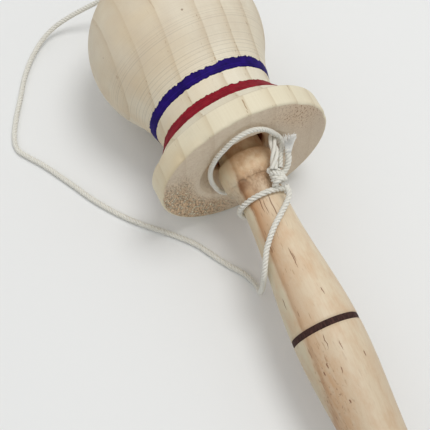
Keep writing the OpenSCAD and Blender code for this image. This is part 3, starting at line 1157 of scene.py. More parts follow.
class Finishes:
    """Materials of all the finishes of the toy and of the table."""

    def __init__(self, effects: Effects, ball_axis: TurnAxis, stick_axis: TurnAxis) -> None:
        """Makes every material.

        Args:
            effects: Shared shader groups.
            ball_axis: Axis of the ball.
            stick_axis: Axis of the stick.
        """
        blue = {"thick": linear(42, 22, 114), "thin": linear(22, 12, 70)}
        red = {"thick": linear(152, 30, 46), "thin": linear(110, 18, 32)}
        self.ball_wood = BallPine(effects, ball_axis).material
        self.stick_wood = StickPine(effects, stick_axis).material
        self.blue_paint = BandPaint("blue_paint", effects, ball_axis, **blue).material
        self.red_paint = BandPaint("red_paint", effects, ball_axis, **red).material
        self.burnt_wood = BurntWood(stick_axis).material
        self.cotton = Cotton().material
        self.table = PaleTable().material


def ride(piece: Piece, body: str, slot: str, *nodes: str) -> None:
    """Hangs a piece on a body and lets it stand for nodes."""
    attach(piece, body)
    stand_for(piece, slot, *nodes)


def stand_for(piece: Piece, slot: str, *nodes: str) -> None:
    """Lets a piece stand for nodes, whose solids it hides, and reports it.

    Args:
        piece: The finished piece.
        slot: Material slot of the record; not used.
        *nodes: Nodes that it stands for.
    """
    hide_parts(*nodes)
    LOG.info("%s: %d faces, for %s", piece.name, len(piece.data.polygons), ", ".join(nodes))


@dataclass
class Ball:
    """The ball with its waist, flare, flange, hollowed mouth and socket.

    Lengths along the axis run from the flange's face, and are negative behind it.

    Attributes:
        lump_round: Number of lumps round the ball, as a drum's radius in lattice steps.
        crumbly_turn: Middle of the crumbly side of the face, in degrees from straight up.
        pitted_turn: Middle of the pitted patch of the face, in degrees from straight up.
        smooth_r: Radius inside which the face is smooth.
        flat_depth: Depth under the face in which the saw's marks lie.
        dish_margin: Depth below the dish at which end grain ends.
        hollow_power: Power by which the mouth's tone deepens.
        crease_half: Half the width of the line of painted shade along the flange's back edge.
        hair: Distance within which two places count as one.
        chips: Turn in degrees, distance along, half width, half height and depth of each chip in the rim.
    """

    axis: TurnAxis
    ball_r: float = 31.0
    ball_back: float = 52.0
    waist_r: float = 20.8
    cove_r: float = 40.0
    waist_fillet_r: float = 8.0
    flange_r: float = 31.0
    flange_t: float = 7.6
    flare_r: float = 28.4
    flare_angle: float = 36.0
    edge_r: float = 0.9
    dish_r: float = 17.0
    dish_depth: float = 5.4
    lip_r: float = 0.7
    socket_r: float = 10.0
    socket_depth: float = 60.0
    socket_point: float = 5.0
    hole_r: float = 1.7
    columns: int = 360
    edge_step: float = 0.25
    back_step: float = 0.5
    fine_step: float = 0.7
    hidden_step: float = 3.0
    lump: float = 0.07
    lump_round: float = 2.2
    lump_run: float = 11.0
    crumbly_turn: float = -124.0
    crumbly_half: float = 0.78
    pitted_turn: float = 47.0
    pitted_half: float = 0.42
    pitted_share: float = 0.9
    smooth_r: float = 18.5
    smooth_fade: float = 4.5
    crumb_depth: float = 0.26
    crumb_rise: float = 0.2
    saw_wave: float = 0.04
    flat_depth: float = 0.3
    face_inset: float = 0.8
    dish_margin: float = 0.5
    hollow_power: float = 2.4
    crease_half: float = 0.3
    crease_fade: float = 0.4
    crease_share: float = 0.8
    hair: float = 0.01
    chips: tuple[tuple[float, float, float, float, float], ...] = (
        (-38, -5.5, 2.4, 1.6, 0.35),
        (-47, -1.0, 1.4, 1.0, 0.45),
        (-30, -0.6, 1.8, 0.8, 0.4),
        (-12, -0.4, 1.2, 0.7, 0.35),
        (-66, -7.2, 2.6, 1.1, 0.4),
        (-85, -0.5, 1.7, 0.9, 0.45),
        (-101, -6.0, 2.2, 2.2, 0.25),
        (8, -0.5, 1.5, 0.8, 0.3),
        (40, -0.4, 2.4, 0.9, 0.45),
        (75, -0.6, 1.6, 0.8, 0.4),
        (130, -7.0, 2.2, 1.2, 0.4),
        (171, -1.2, 1.5, 1.0, 0.35),
    )

    def __post_init__(self) -> None:
        """Works out the circles of the waist, as they touch each other, and the outside's outline."""
        self.ball_c = np.array([0.0, -self.ball_back])
        far = self.waist_r + self.cove_r
        self.cove_c = np.array([far, -self.ball_back + math.sqrt((self.ball_r + self.cove_r) ** 2 - far**2)])
        slope = math.radians(self.flare_angle)
        flare_run = np.array([math.sin(slope), math.cos(slope)])
        self.flare_out = np.array([math.cos(slope), -math.sin(slope)])
        self.flare_end = np.array([self.flare_r, -self.flange_t])
        beside_flare = self.flare_end + self.waist_fillet_r * self.flare_out
        start = beside_flare - self.cove_c
        run = start @ flare_run
        back = run + math.sqrt(run**2 - start @ start + (self.cove_r - self.waist_fillet_r) ** 2)
        self.fillet_c = beside_flare - back * flare_run
        self.outer = self.outer_outline()
        self.by_distance = self.outer[np.argsort(self.outer[:, 1])]

    @staticmethod
    def arc(centre: Array, radius: float, start: float, end: float, step: float) -> Array:
        """Arc in the outline's plane.

        Args:
            centre: Its centre, as radius, along.
            radius: Its radius.
            start: Angle at its start in radians.
            end: Angle at its end in radians.
            step: Distance between points, about.

        Returns:
            The points, one a row.
        """
        count = max(int(abs(end - start) * radius / step), 2)
        turn = np.linspace(start, end, count + 1)
        return centre + radius * np.stack([np.cos(turn), np.sin(turn)], axis=1)

    @staticmethod
    def line(start: Sequence[float], end: Sequence[float], step: float) -> Array:
        """Straight stretch of the outline.

        Args:
            start: Its first point, as radius, along.
            end: Its last point.
            step: Distance between points, about.

        Returns:
            The points, one a row.
        """
        start, end = np.asarray(start, float), np.asarray(end, float)
        count = max(int(np.linalg.norm(end - start) / step), 1)
        return start + np.linspace(0, 1, count + 1)[:, None] * (end - start)

    def outer_outline(self) -> Array:
        """Outline from the cord's hole over the ball and the waist to the end of the flare.

        Returns:
            The points as radius, along, one a row.
        """
        to_cove = math.atan2(*(self.cove_c - self.ball_c)[::-1])
        to_fillet = math.atan2(*(self.fillet_c - self.cove_c)[::-1]) % FULL_TURN
        to_flare = math.atan2(*(-self.flare_out)[::-1]) % FULL_TURN
        hole = -math.acos(self.hole_r / self.ball_r)
        ball = self.arc(self.ball_c, self.ball_r, hole, to_cove, self.fine_step)
        cove = self.arc(self.cove_c, self.cove_r, math.pi + to_cove, to_fillet, self.fine_step)
        fillet = self.arc(self.fillet_c, self.waist_fillet_r, to_fillet, to_flare, self.fine_step)
        flare = self.line(fillet[-1], self.flare_end, self.fine_step)
        return np.vstack([ball, cove[1:], fillet[1:], flare[1:]])

    def outline(self) -> Array:
        """Whole closed outline: over the outside, across the face and back through the socket.

        Returns:
            The points as radius, along, one a row.
        """
        e, lip = self.edge_r, self.lip_r
        back_c = np.array([self.flange_r - e, e - self.flange_t])
        face_c = np.array([self.flange_r - e, -e])
        back_edge = self.arc(back_c, e, -QUARTER_TURN, 0, self.edge_step)
        face_edge = self.arc(face_c, e, 0, QUARTER_TURN, self.edge_step)
        fall = math.atan2(self.dish_depth, self.dish_r - self.socket_r)
        lip_c = np.array([self.dish_r + lip * math.tan(fall / 2), -lip])
        mouth_edge = self.arc(lip_c, lip, QUARTER_TURN, QUARTER_TURN + fall, self.edge_step)
        dish_end = [self.socket_r, -self.dish_depth]
        socket_end = [self.socket_r, -self.socket_depth]
        hole_end = [self.hole_r, -self.socket_depth - self.socket_point]
        parts = [
            self.outer,
            self.line(self.flare_end, back_edge[0], self.back_step)[1:-1],
            back_edge,
            self.line(back_edge[-1], face_edge[0], self.fine_step)[1:-1],
            face_edge,
            self.line(face_edge[-1], mouth_edge[0], self.fine_step)[1:-1],
            mouth_edge,
            self.line(mouth_edge[-1], dish_end, self.fine_step)[1:],
            self.line(dish_end, socket_end, self.hidden_step)[1:],
            self.line(socket_end, hole_end, self.hidden_step)[1:],
            self.line(hole_end, self.outer[0], self.hidden_step)[1:-1],
        ]
        return np.vstack(parts)

    def radius_at(self, along: Array) -> Array:
        """Radius of the waist and flare at places along the axis."""
        return np.interp(along, self.by_distance[:, 1], self.by_distance[:, 0])

    def slope_at(self, along: Array) -> Array:
        """Growth of the radius for each millimetre along the axis, at places along it."""
        slope = np.gradient(self.by_distance[:, 0], self.by_distance[:, 1])
        return np.interp(along, self.by_distance[:, 1], slope)

    def unevenness(self, along: Array, turn: Array) -> Array:
        """Slow lumps of a hand-turned outside, in millimetres, at places along and round it."""
        return self.lump * lattice_noise(drum(turn, along / self.lump_run, self.lump_round), Seed.BALL_LUMPS)

    def rough_shares(self, radius: Array, turn: Array) -> tuple[Array, Array]:
        """How coarse the sawn face is, from smooth at the mouth to rough at the rim.

        Args:
            radius: Distance from the axis.
            turn: Turn from straight up in radians.

        Returns:
            The share of crumbly grain, on the low side, and the share of pits, which the far top has too.
        """
        low = bell(turn - math.radians(self.crumbly_turn), self.crumbly_half, 4)
        high = self.pitted_share * bell(turn - math.radians(self.pitted_turn), self.pitted_half)
        outer = np.clip((radius - self.smooth_r) / self.smooth_fade, 0, 1)
        return low * outer, np.clip(low + high, 0, 1) * outer

    def chipped(self, along: Array, turn: Array) -> Array:
        """Depth of small chips and dents in the flange's rim, as bell-shaped hollows.

        Args:
            along: Distance along the axis.
            turn: Turn from straight up in radians.

        Returns:
            The depth in millimetres.
        """
        depth = np.zeros(np.broadcast(along, turn).shape)
        for angle, place, wide, tall, deep in self.chips:
            around = (turn - math.radians(angle) + math.pi) % FULL_TURN - math.pi
            depth = depth + deep * bell(around * self.flange_r, wide) * bell(along - place, tall)
        return depth

    def build(self) -> Surface:
        """Turned surface of the outline with its lumps, its chips and its sawn face.

        Returns:
            The closed surface, with the shares of end grain, pits, crumbs, inside and painted shade along the
            flange's back edge at each point.
        """
        outline = self.outline()
        turn = turns_round(self.columns)
        radius, along = spread(outline, self.columns)
        outside = (np.arange(len(outline)) < len(self.outer))[:, None]
        flange = ~outside & (along > -self.flange_t - self.hair) & (radius > self.dish_r)
        radius = radius + np.where(outside | flange, self.unevenness(along, turn), 0)

        on_face = (along > -self.dish_depth - self.dish_margin) & (radius < self.flange_r - self.face_inset)
        face = (~outside & on_face).astype(float)
        crumbly, rough = (share * face for share in self.rough_shares(radius, turn))
        places = np.stack([radius * np.sin(turn), radius * np.cos(turn), along], axis=-1)
        coarse = lattice_noise(places, Seed.CRUMBS) + 0.6 * lattice_noise(places / 0.6, Seed.FINE_CRUMBS)
        crumbs = self.crumb_depth * crumbly * np.minimum(coarse, self.crumb_rise)
        sawn = crumbs + self.saw_wave * lattice_noise(places / 4, Seed.SAW_WAVES)
        along = along + np.where((along > -self.flat_depth) & (face > 0), sawn, 0)
        radius = radius - np.where(flange, self.chipped(along, turn), 0)

        # Depth into the mouth, which the finish turns into the mouth's tone and, further in, painted shade.
        deep = np.clip(-along / self.dish_depth, 0, 1) ** self.hollow_power
        inside = np.where(~outside & (radius < self.dish_r), deep, 0)
        # Painted shade in a line along the flange's back edge, broken in places.
        torn_edge = np.clip(0.55 + 0.9 * lattice_noise(places / 5, Seed.RIM_CREASE), 0, 1)
        near_edge = np.clip((radius - self.flange_r + self.edge_r) / self.crease_fade, 0, 1) * ~outside
        crease = self.crease_share * bell(along + self.flange_t, self.crease_half) * near_edge * torn_edge
        shares = {"face": face, "rough": rough, "crumbly": crumbly, "inside": inside, "crease": crease}
        surface = Surface.grid(self.axis.place(radius, along, turn), round_rows=True)
        surface.values = {name: share.ravel() for name, share in shares.items()}
        return surface

    def dress(self, finishes: Finishes) -> None:
        """Makes the ball and hangs it on its body."""
        ride(self.build().make("ball_turned", finishes.ball_wood), "ball", "ball_wood", "ball")


@dataclass
class PaintBand:
    """A band of paint on the ball's waist, with brushed edges.

    Attributes:
        far: Distance of its edge on the ball's side, along the axis.
        near: Distance of its edge on the flange's side, along the axis.
        ragged: How far the brush strayed at the two edges.
        blot: How far the paint swells past its edge on the ball's side, at one place.
        blot_turn: Turn of that place from straight up, in radians.
        blot_half: Half its width in radians.
        coat: Thickness of the coat over the wood.
        sunk: Depth of its back in the wood.
        sway_round: Number of slow sways round the band, as a drum's radius in lattice steps.
    """

    ball: Ball
    name: str
    far: float
    near: float
    ragged: tuple[float, float]
    seed: int
    blot: float = 0.0
    blot_turn: float = 0.66
    blot_half: float = 0.22
    coat: float = 0.15
    sunk: float = 0.12
    sway_round: float = 3.0
    nicks_round: float = 19.0
    columns: int = 720
    rows: int = 12
    back_rows: int = 2

    def edge(self, edge: Edge, turn: Array) -> Array:
        """Place of an edge along the axis: a slow sway with quick nicks of two sizes.

        Args:
            edge: Which of the two edges.
            turn: Turn from straight up in radians.

        Returns:
            The place at each turn.
        """
        seed = self.seed + edge.value
        slow = drum(turn, 0.0, self.sway_round)
        quick = drum(turn, 0.0, self.nicks_round)
        nicks = 0.45 * lattice_noise(slow, seed) + 0.6 * lattice_noise(quick, seed)
        nicks = nicks + 0.45 * lattice_noise(2.6 * quick, seed)
        blot = self.blot if edge is Edge.BALL else 0.0
        swollen = blot * bell(turn - self.blot_turn, self.blot_half)
        return (self.far, self.near)[edge.value] + self.ragged[edge.value] * nicks - swollen

    def build(self) -> Surface:
        """Thin closed ring: the coat's outer skin, and a back that is sunk in the wood.

        Returns:
            The closed surface.
        """
        turn = turns_round(self.columns)
        far, near = self.edge(Edge.BALL, turn), self.edge(Edge.FLANGE, turn)
        back = np.linspace(1, 0, self.back_rows + 2)[1:-1]
        share = np.concatenate([np.linspace(0, 1, self.rows), back])[:, None]
        skin = (np.arange(self.rows + self.back_rows) < self.rows)[:, None]
        along = far + (near - far) * share
        rise = self.coat * (1 - (2 * share - 1) ** 6)
        steep = np.sqrt(1 + self.ball.slope_at(along) ** 2)
        lift = np.where(skin, rise, -self.sunk) * steep
        radius = self.ball.radius_at(along) + self.ball.unevenness(along, turn) + lift
        return Surface.grid(self.ball.axis.place(radius, along, turn), round_rows=True)

    def dress(self, material: Material, slot: str) -> None:
        """Makes the band and hangs it on the ball."""
        ride(self.build().make(self.name + "_paint", material), "ball", slot, self.name)


@dataclass
class Stick:
    """The turned stick: peg, bead, neck, grip and round end, with its burnt line.

    Distances run along the stick's own axis from the flange's face.

    Attributes:
        groove_wall: Width of each wall of the burnt line's groove.
        char_sunk: Depth of the char's skin below the wood.
        char_hollow: How much deeper the skin lies at its edges.
        lump_round: Number of lumps round the stick, as a drum's radius in lattice steps.
        bead_jag: How far the bead's torn end strays along the stick.
        jag_round: Number of jags round the stick, as a drum's radius in lattice steps.
        jag_half: Distance on each side of the bead's end that is torn.
        torn_at: Middle of the torn grain at the neck.
    """

    axis: TurnAxis
    peg_length: float = 50.0
    peg_r: float = 8.08
    peg_tip_r: float = 5.8
    tip_bevel: float = 1.5
    bead_r: float = 10.3
    bead_at: float = 2.0
    bead_shoulder: float = 4.2
    bead_end: float = 7.5
    bead_fall: float = 1.0
    neck_r: float = 7.5
    neck_at: float = 15.0
    grip_r: float = 11.4
    grip_at: float = 66.0
    butt_r: float = 9.0
    reach: float = 120.0
    burn_at: float = 62.0
    burn_w: float = 2.25
    burn_depth: float = 0.4
    groove_wall: float = 0.12
    char_gap: float = 0.08
    char_sunk: float = 0.1
    char_hollow: float = 0.08
    char_flake: float = 0.05
    char_floor: float = 0.02
    char_rows: int = 9
    lump: float = 0.06
    lump_round: float = 1.6
    lump_run: float = 14.0
    bead_jag: float = 0.45
    jag_round: float = 9.0
    jag_run: float = 6.0
    jag_half: float = 1.6
    torn_at: float = 9.9
    torn_half: float = 4.0
    torn_depth: float = 0.12
    columns: int = 256
    step: float = 0.6
    hidden_step: float = 3.0
    curve_points: int = 14

    def outline(self) -> Array:
        """Outline from peg to round end, less its two end points, with quarter waves at the bead.

        Returns:
            The points as radius, along, one a row.
        """
        rise = np.sin(np.linspace(0, QUARTER_TURN, self.curve_points)[1:])
        fall = np.cos(np.linspace(0, QUARTER_TURN, self.curve_points)[1:])
        tip = np.array([self.peg_tip_r - self.tip_bevel, -self.peg_length])
        peg_start = [self.peg_tip_r, self.tip_bevel - self.peg_length]
        peg = Ball.line(peg_start, [self.peg_r, self.bead_at - self.bead_shoulder], self.hidden_step)
        shoulder = [self.peg_r + (self.bead_r - self.peg_r) * rise, self.bead_at - self.bead_shoulder * fall]
        bead_run = self.bead_end - self.bead_at
        bead = [self.bead_r - self.bead_fall * (1 - fall), self.bead_at + bead_run * rise]
        drop = self.bead_r - self.bead_fall - self.neck_r
        neck_run = self.neck_at - self.bead_end
        hollow = [self.neck_r + drop * (1 - rise), self.bead_end + neck_run * (1 - fall)]
        along = self.grip_places()
        grip = [self.radius_at(along), along]
        curves = [np.stack(curve, axis=1) for curve in (shoulder, bead, hollow, grip)]
        end = Ball.arc(np.array([0, self.reach - self.butt_r]), self.butt_r, 0, QUARTER_TURN, self.step)[:-1]
        return np.vstack([tip, peg, *curves, end])

    def grip_places(self) -> Array:
        """Places of the outline's points from the neck to the round end, with the groove's walls among them.

        Returns:
            The distances along the stick, from low to high.
        """
        half = self.burn_w / 2
        wide = half + 2 * self.step
        wall = half - self.groove_wall
        groove = self.burn_at + np.array([-wide, -half, -wall, wall, half, wide])
        along = np.arange(self.neck_at + self.step, self.reach - self.butt_r - self.step / 2, self.step)
        return np.sort(np.concatenate([along[np.abs(along - self.burn_at) > wide], groove]))

    def radius_at(self, along: Array) -> Array:
        """Radius from the neck to the round end: cosine curves, level at each named place, less the groove.

        Args:
            along: Distance along the stick.

        Returns:
            The radius at each distance.
        """
        places = np.array([self.neck_at, self.grip_at, self.reach - self.butt_r])
        radii = np.array([self.neck_r, self.grip_r, self.butt_r])
        part = np.clip(np.searchsorted(places, along) - 1, 0, 1)
        share = np.clip((along - places[part]) / (places[part + 1] - places[part]), 0, 1)
        plain = radii[part] + (radii[part + 1] - radii[part]) * (1 - np.cos(math.pi * share)) / 2
        in_groove = np.abs(along - self.burn_at) < self.burn_w / 2 - self.groove_wall / 2
        return plain - np.where(in_groove, self.burn_depth, 0)

    def build(self) -> Surface:
        """Turned surface of the outline, slightly uneven and torn at the neck, with a point at each end.

        Returns:
            The surface, with the share of torn grain at each point.
        """
        turn = turns_round(self.columns)
        radius, along = spread(self.outline(), self.columns)
        lumps = drum(turn, along / self.lump_run, self.lump_round)
        off_bead = np.clip((along - 1) / 3, 0, 1)
        radius = radius + self.lump * lattice_noise(lumps, Seed.STICK_LUMPS) * off_bead
        ragged = drum(turn, along / self.jag_run, self.jag_round)
        jagged = lattice_noise(ragged, Seed.BEAD_EDGE)
        jagged = jagged + 0.6 * lattice_noise(2.3 * ragged, Seed.FINE_BEAD_EDGE)
        along = along + self.bead_jag * jagged * bell(along - self.bead_end, self.jag_half)
        torn = bell(along - self.torn_at - 0.8 * jagged, self.torn_half, 4)
        torn = torn * np.clip(0.75 + 0.6 * lattice_noise(lumps * 2.2, Seed.NECK_PATCHES), 0, 1)
        places = np.stack([radius * np.cos(turn), radius * np.sin(turn), along], axis=-1)
        pits = np.clip(lattice_noise(places / 0.8, Seed.NECK_PITS), 0, 1)
        surface = Surface.grid(self.axis.place(radius - self.torn_depth * torn * pits, along, turn))
        self._close(surface)
        surface.values = {"torn": np.append(torn.ravel(), [0, 0])}
        return surface

    def _close(self, surface: Surface) -> None:
        """Closes the first and the last ring of the stick, each with a fan of faces to a point on the axis.

        Args:
            surface: The open surface, which gets two more points.
        """
        last = len(surface.points)
        top = last - self.columns
        ring = np.arange(self.columns)
        after = (ring + 1) % self.columns
        tip_fan = np.stack([np.full(self.columns, last), after, ring], axis=1)
        end_fan = np.stack([np.full(self.columns, last + 1), top + ring, top + after], axis=1)
        ends = self.axis.place(0.0, np.array([-self.peg_length, self.reach]), 0.0)
        surface.points = np.vstack([surface.points, ends])
        surface.faces += tip_fan.tolist() + end_fan.tolist()

    def build_burnt_line(self) -> Surface:
        """Closed ring of char in the groove, with an uneven skin a little below the wood.

        Returns:
            The closed surface.
        """
        turn = turns_round(self.columns)
        half = self.burn_w / 2 - self.char_gap
        across = np.concatenate([np.linspace(-half, half, self.char_rows), [half, -half]])[:, None]
        skin = (np.arange(len(across)) < self.char_rows)[:, None]
        along = self.burn_at + across
        wood = self.radius_at(np.array(self.burn_at + self.burn_w))
        flakes = self.char_flake * lattice_noise(drum(turn, along / 0.7, 9.0), Seed.CHAR_FLAKES)
        sunk = self.char_sunk + self.char_hollow * (across / half) ** 2 - flakes
        radius = wood - np.where(skin, sunk, self.burn_depth - self.char_floor)
        return Surface.grid(self.axis.place(radius, along, turn), round_rows=True)

    def dress(self, finishes: Finishes) -> None:
        """Makes the stick and its burnt line, and hangs them on the stick's body.

        Args:
            finishes: All the materials.
        """
        ride(self.build().make("stick_turned", finishes.stick_wood), "stick", "stick_wood", "stick")
        line = self.build_burnt_line().make("burnt_line_char", finishes.burnt_wood)
        ride(line, "stick", "burnt_wood", "burnt_line")


@dataclass(frozen=True)
class CottonCord:
    """Twisted cotton cord of one thickness, which can be laid along any path.

    Attributes:
        pitch: Length in which a strand goes once round.
        strand_out: Distance of a strand's middle from the cord's, as a share of the radius.
        fallen_out: Share of the radius by which slack strands lie further out.
        fibre_pitch: Length in which a fibre goes once round its strand, as a share of the pitch.
        fibre_apart: Distance between the fibre coordinates of two strands.
        furrow: Height in a strand, from its middle, under which the painted shade of the furrow starts.
    """

    radius: float = 1.0
    strands: int = 3
    pitch: float = 3.7
    lay: Lay = Lay.RIGHT
    sides: int = 9
    step: float = 0.35
    strand_out: float = 0.51
    strand_thick: float = 0.49
    fallen_out: float = 0.2
    fallen_thick: float = 0.22
    fibre_pitch: float = 0.8
    fibre_apart: float = 40.0
    furrow: float = 0.25

    @staticmethod
    def across(path: Array) -> tuple[Array, Array]:
        """Two directions across a path, carried from station to station without twist.

        Args:
            path: Stations, one a row.

        Returns:
            The two directions, one row for each station.
        """
        way = unit(np.gradient(path, axis=0))
        first = np.zeros_like(way)
        side = np.array([0.31, 0.42, 0.85])
        for i, along in enumerate(way):
            side = side - (side @ along) * along
            side = side / np.linalg.norm(side)
            first[i] = side
        return first, np.cross(way, first)

    def lay_along(
        self, path: Array, swell: Array | float = 1.0, rounds: int | None = None, slack: Array | float = 0.0
    ) -> Surface:
        """Strands round a path: each a tube whose middle winds round the path as it goes.

        Args:
            path: Stations in millimetres, a step apart.
            swell: Factor on the cord's radius at each station.
            rounds: Whole number of turns over the length, for a closed ring; the pitch sets it otherwise.
            slack: Share of the twist that is lost at each station, where the strands fall apart.

        Returns:
            The strands as one surface, with fibre coordinates and, at each point, the share of painted shade
            between strands, or -1 on a single fibre for painted light.
        """
        closed = rounds is not None
        first, second = self.across(path)
        arc = arc_lengths(path)
        swell, slack = np.broadcast_to(swell, arc.shape), np.broadcast_to(slack, arc.shape)
        turns = arc / arc[-1] * rounds if closed else np.cumsum(np.gradient(arc) * (1 - slack) / self.pitch)
        out_by = (self.strand_out + self.fallen_out * slack) * self.radius * swell
        thick = self.strand_thick * self.radius * swell * (1 + self.fallen_thick * slack)
        round_strand = np.linspace(0, FULL_TURN, self.sides, endpoint=False)[None, :]
        twist = round_strand - self.lay.value * FULL_TURN * arc[:, None] / (self.fibre_pitch * self.pitch)
        # Painted shade in the furrows between strands, less where they lie slack; -1 on a single fibre, which
        # the finish turns into painted light.
        inward = np.clip(self.furrow - np.cos(round_strand), 0, 1) if self.strands > 1 else -1.0
        deep = np.broadcast_to(inward * (1 - slack[:, None]), twist.shape)
        parts = []
        for k in range(self.strands):
            angle = self.lay.value * FULL_TURN * turns + FULL_TURN * k / self.strands
            out = np.cos(angle)[:, None] * first + np.sin(angle)[:, None] * second
            middle = path + out_by[:, None] * out
            beside = np.cross(unit(np.gradient(middle, axis=0)), out)
            ring = np.cos(round_strand)[..., None] * out[:, None]
            ring = ring + np.sin(round_strand)[..., None] * beside[:, None]
            points = (middle[:, None] + thick[:, None, None] * ring) * MM
            part = Surface.grid(points, round_rows=True) if closed else Surface.tube(points)
            fibre = drum(twist, arc[:, None] + self.fibre_apart * k, 1.0)
            part.values = {"fibre": fibre.reshape(-1, 3), "deep": deep.ravel()}
            parts.append(part)
        return Surface.joined(parts)


@dataclass(frozen=True)
class KnotTurn:
    """One winding in a knot, which may widen as it goes.

    Attributes:
        turns: Number of turns, negative the other way round.
        first: Angle at its start in radians.
        near: Radius at its start, and far the radius at its end.
    """

    turns: float
    first: float
    start: float
    end: float
    near: float
    far: float


@dataclass
class CordWork:
    """Everything that is cord: the tie, its knot, the loop in the mouth, the loose end and the free run.

    Routes on the toy are measured from the flange's face and the ball's axis, and the stretch on the
    surface from the flange's face, and up from the surface to the cord's underside.

    Attributes:
        hair: A single fibre of its frayed end.
        knot_turn: Turn of the knot from straight up, in degrees.
        knot_turns: Windings of a knot: a long one, two turns that cross over it and its core.
        stopper_at: Place of the stopper knot along the ball's axis.
        slack_from: Share of the loop's length after which its strands lie slack.
        slack_fade: Number of stations over which they loosen.
        loop_slack: Share of the twist that is lost there.
        slack_swell: Growth of the loop's thickness where its strands lie slack.
        whole_share: Share of the loose end that isn't frayed.
        hair_root: Stations by which a fibre starts inside the cord.
        lift_from: Place on the surface at which the free run starts to follow the stick.
        lift_by: Way from there to where it follows the stick fully.
    """

    ball_axis: TurnAxis
    stick: Stick
    material: Material
    cord: CottonCord = CottonCord()
    hair: CottonCord = CottonCord(radius=0.28, strands=1, pitch=9, sides=5, step=0.5)
    clear: float = 0.3
    tie_at: float = 14.7
    tie_stations: int = 140
    tie_rounds: int = 12
    knot_at: float = 11.3
    knot_turn: float = 27.0
    knot_out: float = 11.3
    knot_stations: int = 40
    knot_turns: tuple[KnotTurn, ...] = (
        KnotTurn(turns=3.4, first=0.4, start=-2.9, end=2.7, near=1.15, far=1.55),
        KnotTurn(turns=-0.55, first=2.2, start=-2.9, end=2.3, near=1.5, far=1.9),
        KnotTurn(turns=-0.5, first=-1.0, start=-1.2, end=2.9, near=1.6, far=1.8),
        KnotTurn(turns=0.2, first=1.0, start=-2.6, end=2.6, near=0.3, far=0.3),
    )
    stopper_at: float = -60.7
    slack_from: float = 0.83
    slack_fade: float = 12.0
    loop_slack: float = 0.75
    loop_swell: float = 0.88
    slack_swell: float = 0.36
    whole_share: float = 0.72
    end_swell: float = 1.12
    hairs: int = 110
    hair_stations: int = 9
    hair_root: int = 4
    hair_tip: float = 0.45
    mouth_route: Route = (
        (10.6, 6.8, 9.2), (7.5, 8.6, 10), (5, 10.3, 10.2), (3.3, 11.2, 10.8), (2.2, 10.7, 12.7),
        (1.8, 8.9, 15.7), (1.6, 6.7, 19), (1.6, 4.2, 21.7), (1.6, 1.5, 23.4), (1.6, -1.2, 23.9),
        (1.6, -3.8, 23.3), (1.6, -6.4, 21.8), (1.6, -8.7, 19.3), (1.6, -10.9, 16.8), (1.6, -12.5, 13.7),
        (1.6, -13.6, 10.1), (1.6, -13.9, 5.7), (1.6, -13.3, 0.5), (1.6, -11.6, -5.4), (1.6, -9.4, -10.2),
        (1.5, -5.2, -14), (1.4, 0.3, -15.2), (1.3, 5.4, -14), (1.1, 9.7, -10.5), (0.7, 12.2, -5),
        (0.2, 12.8, 0.5), (-0.2, 12, 5.5), (-0.2, 10.5, 9.2), (0.6, 9, 11.6), (2.6, 8.1, 12.2),
        (5.2, 7.4, 12.2), (7.8, 6.1, 11.6), (10.6, 4.2, 10.2),
    )
    tail_route: Route = (
        (12.2, 6.6, 6.9), (11.6, 8, 7.2), (10.8, 9.4, 8.4), (9.6, 10.3, 10.2), (8.4, 10.7, 11.6),
        (7.1, 11.1, 13), (5.8, 11.8, 14.5), (4.9, 12.9, 15.8),
    )
    over_grip: Route = (
        (16.8, 5.6, 8.2), (18.6, 5.6, 7.8), (20.6, 4.6, 7.4), (22.4, 2.4, 7.1), (24.4, -0.4, 6.7),
        (27.5, -4.6, 5.9), (31.6, -8.9, 3.9), (35.2, -11.4, 1.4), (37.8, -13, -3), (38.2, -13.4, -9.5),
    )
    on_surface: Route = (
        (37, -13, 13), (35, -12, 6), (32, -11, 1.8), (28, -11.2, 0.4), (24, -12.8, 0.15), (19, -16, 0.15),
        (13, -19.2, 0.15), (7, -22.4, 0.15), (1, -27.2, 0.15), (-4, -31.8, 0.15), (-13, -39.6, 0.15),
        (-24, -46.8, 0.15), (-35, -52.2, 0.15), (-46, -57.8, 0.15), (-52, -61.6, 0.15), (-56.8, -64, 0.15),
        (-62.4, -63, 0.15), (-69.4, -59.4, 0.15), (-76.6, -54.8, 0.15), (-85, -49.4, 0.35), (-91, -44, 0.95),
        (-95.6, -37.8, 2.2), (-97.8, -31.6, 4.1), (-97.6, -24.8, 7.1),
    )
    up_to_ball: Route = (
        (-96, -18.6, -19.4), (-94, -12.4, -15.4), (-92.6, -7, -10), (-91, -2.8, -4.6), (-88.6, -0.6, -1.2),
        (-85.4, 0, 0), (-75, 0, 0), (-62.5, 0, 0),
    )
    lift_from: Triple = (32.0, -11.0, 2.9)
    lift_by: Triple = (10.1, 0.0, 25.3)

    def on_toy(self, route: Route) -> Array:
        """Places in millimetres of a route that is measured from the flange's face and the ball's axis."""
        return np.array(route, float) + self.ball_axis.start

    def run_path(self) -> Array:
        """Stations of the free run, from the knot to the stopper knot in the socket.

        Returns:
            The stations in millimetres, one a row.
        """
        surface = np.array(self.on_surface, float) + np.array([self.ball_axis.start[0], 0, self.cord.radius])
        route = np.vstack([self.on_toy(self.over_grip), surface, self.on_toy(self.up_to_ball)])
        return smooth_path(route, self.cord.step)

    def dress(self) -> None:
        """Makes every piece of cord, and hangs each but the free run on its body."""
        self._free_run()
        self._mouth_loop()
        self._neck_tie()
        self._neck_knot()
        self._loose_tail()
        self._stopper_knot()

    def _free_run(self) -> None:
        """Makes the free run in one piece, from the knot over the grip and the surface to the stopper knot,
        left in place.
        """
        path = self.run_path()
        piece = self.cord.lay_along(path).make("cord_free_run", self.material)
        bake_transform(piece)
        stand_for(piece, "cotton_cord", "cord_run")

